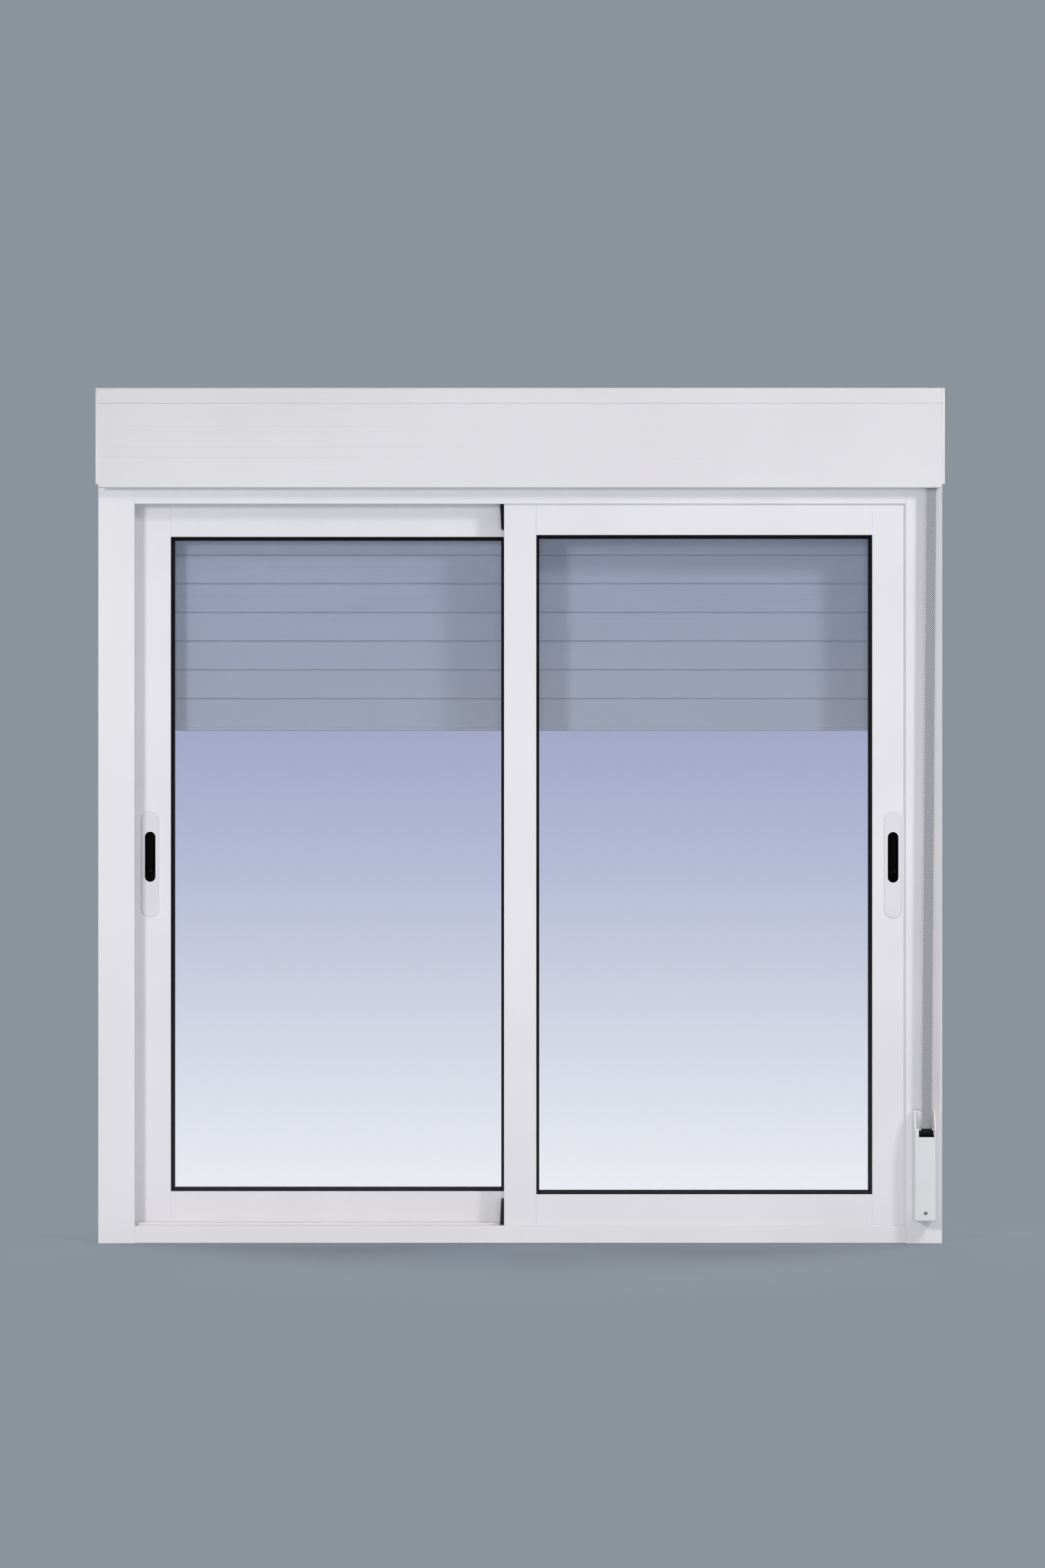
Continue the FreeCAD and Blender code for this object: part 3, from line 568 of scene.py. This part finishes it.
def yarn(name, low, high):
    finish, tree = new_finish(name)
    place = position(tree)
    twist = tree.node(
        "TexWave",
        {"wave_type": "BANDS", "bands_direction": "DIAGONAL"},
        {"Vector": place, "Scale": 900.0, "Distortion": 3.0, "Detail": 1.0},
    )
    fluff = noise(place, 2400.0, 3.0)
    shade = (0.6 * twist + 0.4 * fluff).between(0.2, 0.8)
    surface(
        tree,
        Base_Color=shade.blend(low, high),
        Roughness=0.78 + 0.15 * fluff,
        Sheen_Weight=0.25,
        Normal=relief(twist + 0.5 * fluff, 0.35, 0.06 * MM),
    )
    return finish


white_yarn = yarn("white_yarn", tint(187, 187, 191), tint(213, 213, 217))
dark_yarn = yarn("dark_yarn", tint(58, 60, 70), tint(84, 87, 99))
print("two yarns")

# %% Weave the strap
strap_run = STRAP_TOP - STRAP_LOW
rows = int(strap_run.length / ROW)
half_steps = 2 * rows
inner = STRAP_HALF - SELVAGE
across = [-STRAP_HALF, -STRAP_HALF + SELVAGE / 2]
across += [-inner + k * inner / COLUMNS for k in range(2 * COLUMNS + 1)]
across += [STRAP_HALF - SELVAGE / 2, STRAP_HALF]
front_columns = len(across)


def is_dark(row, column):
    return (row + column) % 2 == 0


def pillow(step, k):
    """How far the front stands out at half-row step and the k-th point across."""
    if k in (0, front_columns - 1):
        return EDGE_THIN
    if k in (1, front_columns - 2):
        return EDGE_ROLL
    at_row, at_column = step % 2, (k - 2) % 2
    if at_row and at_column:
        dark = is_dark(step // 2, (k - 2) // 2)
        return DARK_PILLOW if dark else PILLOW
    return RIDGE if at_row or at_column else 0.0


points = []
for step in range(half_steps + 1):
    centre = STRAP_LOW + strap_run * (step / half_steps)
    for k, x in enumerate(across):
        points.append(centre + Vector((x, FRONT_BASE - pillow(step, k), 0.0)))
faces = []
picks = []
for step in range(half_steps):
    for k in range(front_columns - 1):
        a = step * front_columns + k
        faces.append((a, a + 1, a + 1 + front_columns, a + front_columns))
        inside = 2 <= k < front_columns - 3
        picks.append(1 if inside and is_dark(step // 2, (k - 2) // 2) else 0)

back_across = across[:1] + across[2:-2:2] + across[-1:]
back_columns = len(back_across)
first_back = len(points)
for row in range(rows + 1):
    centre = STRAP_LOW + strap_run * (row / rows)
    for x in back_across:
        points.append(centre + Vector((x, BACK_BASE, 0.0)))
for row in range(rows):
    for k in range(back_columns - 1):
        a = first_back + row * back_columns + k
        faces.append((a, a + back_columns, a + back_columns + 1, a + 1))
        inside = 1 <= k < back_columns - 2
        picks.append(1 if inside and not is_dark(row, k - 1) else 0)
    for front_k, back_k in ((0, 0), (front_columns - 1, back_columns - 1)):
        low = 2 * row * front_columns + front_k
        behind = first_back + row * back_columns + back_k
        rim = (low, low + front_columns, low + 2 * front_columns, behind + back_columns, behind)
        faces.append(rim)
        picks.append(0)
for front_row, back_row in ((0, 0), (half_steps, rows)):
    start = front_row * front_columns
    behind = first_back + back_row * back_columns
    end = list(range(start, start + front_columns))
    end += list(range(behind + back_columns - 1, behind - 1, -1))
    faces.append(tuple(end))
    picks.append(0)
yarns = [white_yarn, dark_yarn]
strap = add_piece("woven_strap", points, faces, yarns, True, picks)
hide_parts("shutter_strap")
print("strap of", rows, "rows,", len(faces), "faces")

# %% [markdown]
# The thumb slide of each flush handle is a black button with a long dish for the thumb. It is
# round at the top, where it fills the slot, and ends in a shallow arc at the bottom, above the
# slot's free end. The CAD solid has the dish as one plain cylinder cut; on the real one its ends
# are hollowed too, and that is where the two glints near the bottom come from. The same outline
# is drawn again and again, each time further in and at the depth that the dish has there.

# %% Thumb slides
SLIDE_HALF = 7.3 * MM
SLIDE_TOP = 576.9 * MM
SLIDE_FOOT = 522.7 * MM
FOOT_SAG = 2.2 * MM
SLIDE_DEPTH = 11.1 * MM
RIM = 0.9 * MM
RIM_ROUND = 0.2 * MM
RIM_DROP = 0.1 * MM
DISH = 4.4 * MM
DISH_WALL = 2.4
DISH_FLOOR = 0.62
DISH_SHARE = 0.995
# in millimetres: inset and depth round the outer edge, then the middle and the front of each slide
EDGE_STEPS = ((0.0, 0.5), (0.12, 0.16), (0.4, 0.0))
SLIDES = (("right", 530.5, -30.8), ("left", -530.5, 3.2))
ARC_POINTS = 18
SIDE_POINTS = 8
DISH_RINGS = 12


def slide_outline(inset):
    """Points (x, z) round the slide's edge moved in by inset, anticlockwise from the right."""
    wide = SLIDE_HALF - inset
    sag = FOOT_SAG * wide / SLIDE_HALF
    corner = SLIDE_FOOT + inset + sag
    ring = []
    for i in range(ARC_POINTS + 1):
        angle = math.pi * i / ARC_POINTS
        ring.append((wide * math.cos(angle), SLIDE_TOP + wide * math.sin(angle)))
    for i in range(1, SIDE_POINTS):
        ring.append((-wide, SLIDE_TOP + (corner - SLIDE_TOP) * i / SIDE_POINTS))
    for i in range(ARC_POINTS + 1):
        angle = math.pi + math.pi * i / ARC_POINTS
        ring.append((wide * math.cos(angle), corner + sag * math.sin(angle)))
    for i in range(1, SIDE_POINTS):
        ring.append((wide, corner + (SLIDE_TOP - corner) * i / SIDE_POINTS))
    return ring


dish_steps = [(0.0, SLIDE_DEPTH)]
dish_steps += [(inset * MM, depth * MM) for inset, depth in EDGE_STEPS]
dish_steps += [(RIM - RIM_ROUND, 0.0), (RIM, RIM_DROP)]
for i in range(1, DISH_RINGS + 1):
    t = i / DISH_RINGS
    inset = RIM + (SLIDE_HALF - RIM) * t * DISH_SHARE
    fall = (1 - (1 - t) ** DISH_WALL) ** DISH_FLOOR
    dish_steps.append((inset, RIM_DROP + DISH * fall))


def thumb_slide(name, x, front):
    points = []
    for inset, depth in dish_steps:
        for px, pz in slide_outline(inset):
            points.append(Vector((x + px, front + depth, pz)))
    count = len(slide_outline(0.0))
    faces = tube_faces(len(dish_steps), count)
    faces.append(tuple(range(count)))
    faces.append(tuple(range(len(points) - count, len(points))))
    return add_piece(name, points, faces, [gloss_black])


for side, x, front in SLIDES:
    slide = thumb_slide(side + "_thumb_slide", x * MM, front * MM)
    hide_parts(side + "_latch_slide")
print("two thumb slides of", len(dish_steps), "rings")

# %% [markdown]
# The winder's cover is held by one zinc-plated screw with a cross recess. A texture can't
# make the recess, so the head is a disc of rings whose height falls away along two crossing
# lines. Two small lugs on the cover's notch keep the strap on the black roller.

# %% Winder screw and lugs
zinc, tree = new_finish("zinc_plate")
place = position(tree)
turned_marks = noise(place, 2600.0, 3.0)
surface(
    tree,
    Base_Color=turned_marks.blend(tint(150, 153, 151), tint(194, 197, 195)),
    Metallic=1.0,
    Roughness=0.24 + 0.2 * turned_marks,
    Normal=relief(turned_marks, 0.12, 0.05 * MM),
)

SCREW = Vector((572.1, -69.2, 47.6)) * MM
SCREW_RADIUS = 2.85 * MM
SCREW_RISE = 1.1 * MM
RECESS = 0.9 * MM
SLOT_HALF = 0.42 * MM
SLOT_REACH = 0.68
SCREW_RINGS = 14
SCREW_TURN = 48

points = []
for r in range(SCREW_RINGS + 1):
    radius = SCREW_RADIUS * (1 - r / SCREW_RINGS)
    dome = SCREW_RISE * math.sqrt(max(0.0, 1 - (radius / SCREW_RADIUS) ** 3))
    for i in range(SCREW_TURN):
        angle = 2 * math.pi * i / SCREW_TURN
        x, z = radius * math.cos(angle), radius * math.sin(angle)
        near = min(abs(x), abs(z))
        slot = max(0.0, 1 - near / SLOT_HALF) ** 0.5
        inward = max(0.0, 1 - radius / (SLOT_REACH * SCREW_RADIUS)) ** 0.35
        cut = slot * inward
        points.append(SCREW + Vector((x, -dome + RECESS * cut, z)))
faces = tube_faces(SCREW_RINGS + 1, SCREW_TURN)
faces.append(tuple(range(SCREW_TURN)))
add_piece("winder_screw", points, faces, [zinc])

NOTCH_X = 573.4 * MM
NOTCH_HALF = 11.0 * MM
LUG_INSET = 0.6 * MM
NOTCH_TOP = 166.6 * MM
COVER_FRONT = -69.2 * MM
LUG = Vector((2.4, 2.0, 2.4)) * MM
LUG_SINK = 0.1 * MM
LUG_ROUND = 0.5 * MM


def rounded_block(low, high, round_by):
    """Points and faces of a block with rounded edges, made by a bevel on a cube."""
    work = bmesh.new()
    bmesh.ops.create_cube(work, size=1.0)
    for v in work.verts:
        for a in range(3):
            v.co[a] = low[a] if v.co[a] < 0 else high[a]
    bmesh.ops.bevel(
        work,
        geom=work.edges[:],
        offset=round_by,
        segments=3,
        profile=0.5,
        affect="EDGES",
    )
    work.verts.index_update()
    points = [v.co.copy() for v in work.verts]
    faces = [tuple(v.index for v in f.verts) for f in work.faces]
    work.free()
    return points, faces


points = []
faces = []
for turn in (-1, 1):
    edge = NOTCH_X + turn * (NOTCH_HALF - LUG_INSET)
    inner_edge = edge - turn * LUG.x
    low = Vector((min(edge, inner_edge), COVER_FRONT + LUG_SINK, NOTCH_TOP - LUG.z))
    high = Vector((max(edge, inner_edge), COVER_FRONT + LUG.y, NOTCH_TOP))
    more, sides = rounded_block(low, high, LUG_ROUND)
    faces += [tuple(len(points) + i for i in f) for f in sides]
    points += more
add_piece("winder_lugs", points, faces, [winder_plastic])
print("screw and lugs on the winder")

# %% [markdown]
# Where the strap goes into the winder, a bent web stands close behind it and closes the top, so
# that beside the strap one sees white plastic and not into the housing. It is one profile, drawn
# from the side as an L with a rounded bend, and pushed across from cheek to cheek.

# %% Throat of the winder
THROAT_SIDES = (559.15 * MM, 584.85 * MM)
THROAT_FACE = -50.6 * MM
THROAT_FOOT = 150.0 * MM
THROAT_TOP = 190.2 * MM
THROAT_BACK = -37.3 * MM
THROAT_WALL = 1.2 * MM
BEND = 3.0 * MM
BEND_STEPS = 8


def bend_line(inset):
    """The web's side view (y, z) from its foot round the bend to the back, moved in by inset."""
    line = [(THROAT_FACE + inset, THROAT_FOOT)]
    for i in range(BEND_STEPS + 1):
        angle = math.pi / 2 * i / BEND_STEPS
        y = THROAT_FACE + BEND - (BEND - inset) * math.cos(angle)
        z = THROAT_TOP - BEND + (BEND - inset) * math.sin(angle)
        line.append((y, z))
    return line + [(THROAT_BACK, THROAT_TOP - inset)]


profile = bend_line(0.0) + bend_line(THROAT_WALL)[::-1]
points = [Vector((x, y, z)) for x in THROAT_SIDES for y, z in profile]
faces = tube_faces(2, len(profile))
half_count = len(profile) // 2
for first in (0, len(profile)):
    for i in range(half_count - 1):
        a, b = first + i, first + len(profile) - 1 - i
        faces.append((a, a + 1, b - 1, b))
add_piece("winder_throat", points, faces, [winder_plastic], False)
print("throat of", len(faces), "faces")

# %% [markdown]
# The lid of the box clips behind the top profile with a thin lip, so the seam shows as a fine
# grey line and not as a black slit. The lip is one long rounded strip set a little behind the
# face. It is made with the same block helper as the lugs.

# %% Lip behind the lid's seam
SEAM_Z = 1190.98 * MM
LIP_HALF = 595.6 * MM
LIP_HEIGHT = 0.56 * MM
LIP_FACE = -61.55 * MM
LIP_BACK = -60.4 * MM
LIP_ROUND = 0.1 * MM
low = Vector((-LIP_HALF, LIP_FACE, SEAM_Z - LIP_HEIGHT))
high = Vector((LIP_HALF, LIP_BACK, SEAM_Z))
points, faces = rounded_block(low, high, LIP_ROUND)
add_piece("lid_lip", points, faces, [box_plastic])
print("lip behind the seam,", round(2 * LIP_HALF, 3), "m long")

# %% [markdown]
# The end caps stand a hair proud of the lid at the front, and that step is the upright line at
# each end of the box. A line in the finish would vanish from the side, so it is a thin rounded
# strip on each cap, from the same block helper.

# %% Rims of the end caps
CAP_RIM_INNER = 596.2 * MM
CAP_RIM_OUTER = 599.95 * MM
CAP_RIM_FACE = -62.75 * MM
CAP_RIM_ROOT = -61.9 * MM
CAP_RIM_LOW = 1076.2 * MM
CAP_RIM_HIGH = 1211.4 * MM
CAP_RIM_EDGE = 0.3 * MM
for side, turn in (("left", -1), ("right", 1)):
    edges = sorted((turn * CAP_RIM_INNER, turn * CAP_RIM_OUTER))
    low = Vector((edges[0], CAP_RIM_FACE, CAP_RIM_LOW))
    high = Vector((edges[1], CAP_RIM_ROOT, CAP_RIM_HIGH))
    points, faces = rounded_block(low, high, CAP_RIM_EDGE)
    add_piece(side + "_cap_rim", points, faces, [cap_plastic])
print("rims", round(CAP_RIM_HIGH - CAP_RIM_LOW, 4), "m high on both caps")

# %% [markdown]
# In the free half of the front track the running rail shows as a bright line just above the
# sill's front leg. The solid's rail is a few millimetres lower than that line, so a strip on top
# of it stands in for the missing height. Its edges are rounded to catch the light, and it stops
# short of the sash, whose wheels need the bare rail.

# %% Strip on the free half of the rail
STRIP_ENDS = (-546.5 * MM, -31.0 * MM)
STRIP_Y = -17.0 * MM
STRIP_HALF = 2.0 * MM
STRIP_FOOT = 21.6 * MM
STRIP_TOP = 26.8 * MM
STRIP_ROUND = 0.7 * MM
low = Vector((STRIP_ENDS[0], STRIP_Y - STRIP_HALF, STRIP_FOOT))
high = Vector((STRIP_ENDS[1], STRIP_Y + STRIP_HALF, STRIP_TOP))
points, faces = rounded_block(low, high, STRIP_ROUND)
add_piece("rail_strip", points, faces, [level_coat])
print("rail strip", round(STRIP_ENDS[1] - STRIP_ENDS[0], 3), "m long")

# %% [markdown]
# Between each sash and the legs of its track runs a pile seal, a strip of short grey bristles
# that keeps draught out, and a like strip lines the shutter's guides. Hair would cost too
# much for so little to see. Each strip is a band whose free side is cut into tufts of
# uneven length, drawn from a fixed seed so that every run gives the same strip.

# %% Pile seals
pile, tree = new_finish("pile_bristles")
place = position(tree)
bristles = noise(stretched(place, (2200.0, 300.0, 2200.0)), 1.0, 2.0)
surface(
    tree,
    Base_Color=bristles.between(0.25, 0.75).blend(tint(92, 92, 96), tint(150, 150, 154)),
    Roughness=0.85,
    Sheen_Weight=0.3,
    Normal=relief(bristles, 0.5, 0.2 * MM),
)

TUFT = 3.2 * MM
SEAL_HALF = 2.2 * MM
SEAL_CLEAR = 0.05 * MM
FULL_TUFT = 0.97
TUFT_NOTCH = 0.3
TUFT_SPREAD = 0.12
TIP_SHARE = 0.45
draw = random.Random(7)


def pile_strip(start, end, across, root_y, tip_y):
    """Tufted band from start to end, as wide as 2 SEAL_HALF along across."""
    run = end - start
    steps = int(run.length / TUFT) * 2
    points = []
    for i in range(steps + 1):
        centre = start + run * (i / steps)
        reach = FULL_TUFT - TUFT_NOTCH * (i % 2) - TUFT_SPREAD * draw.random()
        tip = root_y + (tip_y - root_y) * reach
        wide = across * SEAL_HALF
        outline = ((root_y, -1.0), (tip, -TIP_SHARE), (tip, TIP_SHARE), (root_y, 1.0))
        for y, share in outline:
            spot = centre + wide * share
            points.append(Vector((spot.x, y, spot.z)))
    faces = []
    for i in range(steps):
        for k in range(4):
            a = 4 * i + k
            b = 4 * i + (k + 1) % 4
            faces.append((a, b, b + 4, a + 4))
    faces.append((0, 1, 2, 3))
    last = 4 * steps
    faces.append((last + 3, last + 2, last + 1, last))
    return points, faces


X_AXIS = Vector((1, 0, 0))
Z_AXIS = Vector((0, 0, 1))
LEG_IN = 554.2 * MM
SILL_SEAL = 18.8 * MM
HEAD_SEAL = 1057.2 * MM
MEET = 18.0 * MM
SEAL_END = 546 * MM
JAMB_SEAL = (24 * MM, 1052 * MM)
BRUSH_X = 551.5 * MM
BRUSH_RUN = (2 * MM, 1074 * MM)
BRUSH_REACH = (54.25 * MM, 55.85 * MM)
# in millimetres: the depth of the leg and of the sash at each gap
SEAL_GAPS = (
    ("right", 1, ((-32.8, -30.5), (-1.2, -3.5))),
    ("left", -1, ((1.2, 3.5), (32.8, 30.5))),
)
for side, turn, gaps in SEAL_GAPS:
    points = []
    faces = []
    for leg, sash in gaps:
        ease = math.copysign(SEAL_CLEAR, sash - leg)
        root, tip = leg * MM + ease, sash * MM - ease
        foot, head = [Vector((turn * LEG_IN, 0, z)) for z in JAMB_SEAL]
        strips = [(foot, head, X_AXIS)]
        for z in (SILL_SEAL, HEAD_SEAL):
            meeting = Vector((-turn * MEET, 0, z))
            strips.append((meeting, Vector((turn * SEAL_END, 0, z)), Z_AXIS))
        for start, end, wide in strips:
            more, sides = pile_strip(start, end, wide, root, tip)
            faces += [tuple(len(points) + i for i in f) for f in sides]
            points += more
    add_piece(side + "_pile_seals", points, faces, [pile], False)
    foot, head = [Vector((turn * BRUSH_X, 0, z)) for z in BRUSH_RUN]
    more, sides = pile_strip(foot, head, X_AXIS, *BRUSH_REACH)
    add_piece(side + "_guide_brush", more, sides, [pile], False)
print("pile seals and guide brushes")

# %% [markdown]
# The studio: the window stands before a plain blue-grey sheet. A real sheet would need its own
# lights, so the world shows its colour to the camera and to reflections, and lights the
# object with soft white from all round. What is seen through the panes is a backdrop further
# off, lavender above and white below, so rays that have passed through glass get that ramp.

# %% World
BACKDROP = tint(139, 147, 156)
SOFT_LIGHT = (0.278, 0.269, 0.253, 1.0)
RAMP_LOW = -0.132
RAMP_HIGH = 0.017
BEYOND = (
    (0.02, (0.99, 0.938, 0.852, 1.0)),
    (0.417, (0.736, 0.71, 0.729, 1.0)),
    (0.707, (0.549, 0.552, 0.642, 1.0)),
    (0.989, (0.438, 0.439, 0.55, 1.0)),
)
BEYOND_STRENGTH = 1.15

world = bpy.data.worlds.new("studio")
world.use_nodes = True
world.node_tree.nodes.clear()
scene.world = world
air = Field(world.node_tree)
direction = air.node("TexCoord", output="Generated")
slope = air.node("SeparateXYZ", None, {0: direction}, output="Z")
rise = (slope - RAMP_LOW) / (RAMP_HIGH - RAMP_LOW)
beyond = air.node("ValToRGB", {"stops": BEYOND}, {0: rise})
by_camera = air.node("LightPath", output="Is Camera Ray")
by_gloss = air.node("LightPath", output="Is Glossy Ray")
bounces = air.node("LightPath", output="Diffuse Depth")
unscattered = bounces.math("LESS_THAN", bounces, 0.5)
through = air.node("LightPath", output="Is Transmission Ray") * unscattered
seen = by_camera.math("MAXIMUM", by_camera, by_gloss)
light = through.blend(seen.blend(SOFT_LIGHT, BACKDROP), beyond)
strength = 1.0 + (BEYOND_STRENGTH - 1.0) * through
sky = air.node("Background", None, {"Color": light, "Strength": strength})
air.node("OutputWorld", None, {"Surface": sky})
print("world with", len(BEYOND), "stops beyond the glass")

# %% [markdown]
# The floor is matt and takes the window's shadow close by. Further off it turns into the
# sheet's own colour, so that no horizon shows. It lets rays that come through the panes pass,
# because behind a real window hung in a studio there is nothing to see but the backdrop.

# %% Floor
FLOOR_HALF = 9.0
FLOOR_DROP = 0.5 * MM
FLOOR_LOW = tint(145, 153, 163)
FLOOR_HIGH = tint(148, 156, 166)
FLOOR_STRETCH = (0.6, 1.0, 0.0)
NEAR = 0.1
FAR = 0.6

paper, tree = new_finish("studio_paper")
place = position(tree)
fibre = noise(place, 300.0, 3.0)
sheet_colour = fibre.between(0.2, 0.8).blend(FLOOR_LOW, FLOOR_HIGH)
matt = tree.node("BsdfDiffuse", None, {"Color": sheet_colour})
glow = tree.node("Emission", None, {"Color": BACKDROP})
flat = tree.node("VectorMath", {"operation": "MULTIPLY"}, {0: place, 1: FLOOR_STRETCH})
reach = tree.node("VectorMath", {"operation": "LENGTH"}, {0: flat}, output="Value")
by_camera = tree.node("LightPath", output="Is Camera Ray")
by_gloss = tree.node("LightPath", output="Is Glossy Ray")
through = tree.node("LightPath", output="Is Transmission Ray")
seen = by_camera.math("MAXIMUM", by_camera, by_gloss)
far_off = reach.between(NEAR, FAR) * seen
ground = tree.node("MixShader", None, {0: far_off, 1: matt, 2: glow})
open_way = tree.node("BsdfTransparent")
ground = tree.node("MixShader", None, {0: through, 1: ground, 2: open_way})
tree.node("OutputMaterial", None, {"Surface": ground})

corners = [(-1, -1), (1, -1), (1, 1), (-1, 1)]
mesh = bpy.data.meshes.new("studio_floor")
points = [(x * FLOOR_HALF, y * FLOOR_HALF, -FLOOR_DROP) for x, y in corners]
mesh.from_pydata(points, [], [(0, 1, 2, 3)])
mesh.materials.append(paper)
floor = bpy.data.objects.new("studio_floor", mesh)
scene.collection.objects.link(floor)
floor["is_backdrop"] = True
print("floor", 2 * FLOOR_HALF, "m wide")

# %% [markdown]
# Two soft boxes light the window from the room, and the shadows tell where they stood. The
# meeting stile's shadow falls far to the left on the slats, so the main one is well round to
# the right. The jamb's shadow on the left sash is short, so the other one is at the left but
# nearly in front. Both are turned across the window and downwards, past it: that dims what is
# nearest to them and evens out the light. A large lamp near the camera fills the recesses. The
# last three stand behind the window and keep its back, ends and top from going dark.

# %% Lamps
LAMPS = (
    ("main_soft_box", (1.62, -1.62, 1.8), (-4.38, -1.62, -4.7), 0.5, 26.4, True),
    ("side_soft_box", (-1.17, -2.3, 1.15), (1.83, -1.8, -2.05), 0.42, 38.6, True),
    ("fill_soft_box", (0.1, -3.8, 0.25), (-2.0, 0.0, 0.2), 1.2, 56.5, False),
    ("back_soft_box", (-0.6, 5.0, 2.4), (0.0, 0.0, 0.6), 2.5, 100.0, False),
    ("left_rim_box", (-3.2, 1.2, 2.2), (0.0, 0.0, 0.6), 1.5, 43.0, False),
    ("right_rim_box", (3.2, 1.2, 2.2), (0.0, 0.0, 0.6), 1.5, 43.0, False),
)
for name, place, aim, size, power, mirrored in LAMPS:
    lamp = bpy.data.lights.new(name, "AREA")
    lamp.shape = "SQUARE"
    lamp.size = size
    lamp.energy = power
    box = bpy.data.objects.new(name, lamp)
    box.location = place
    box.rotation_euler = (Vector(aim) - Vector(place)).to_track_quat("-Z", "Y").to_euler()
    box.visible_glossy = mirrored
    box.visible_transmission = False
    scene.collection.objects.link(box)
print(len(LAMPS), "lamps")

# %% [markdown]
# Last, the box of everything shown, with every new piece on, is printed.

# %% Size of the visual box
low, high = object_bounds()
print("visual box", [round(v, 4) for v in high - low])
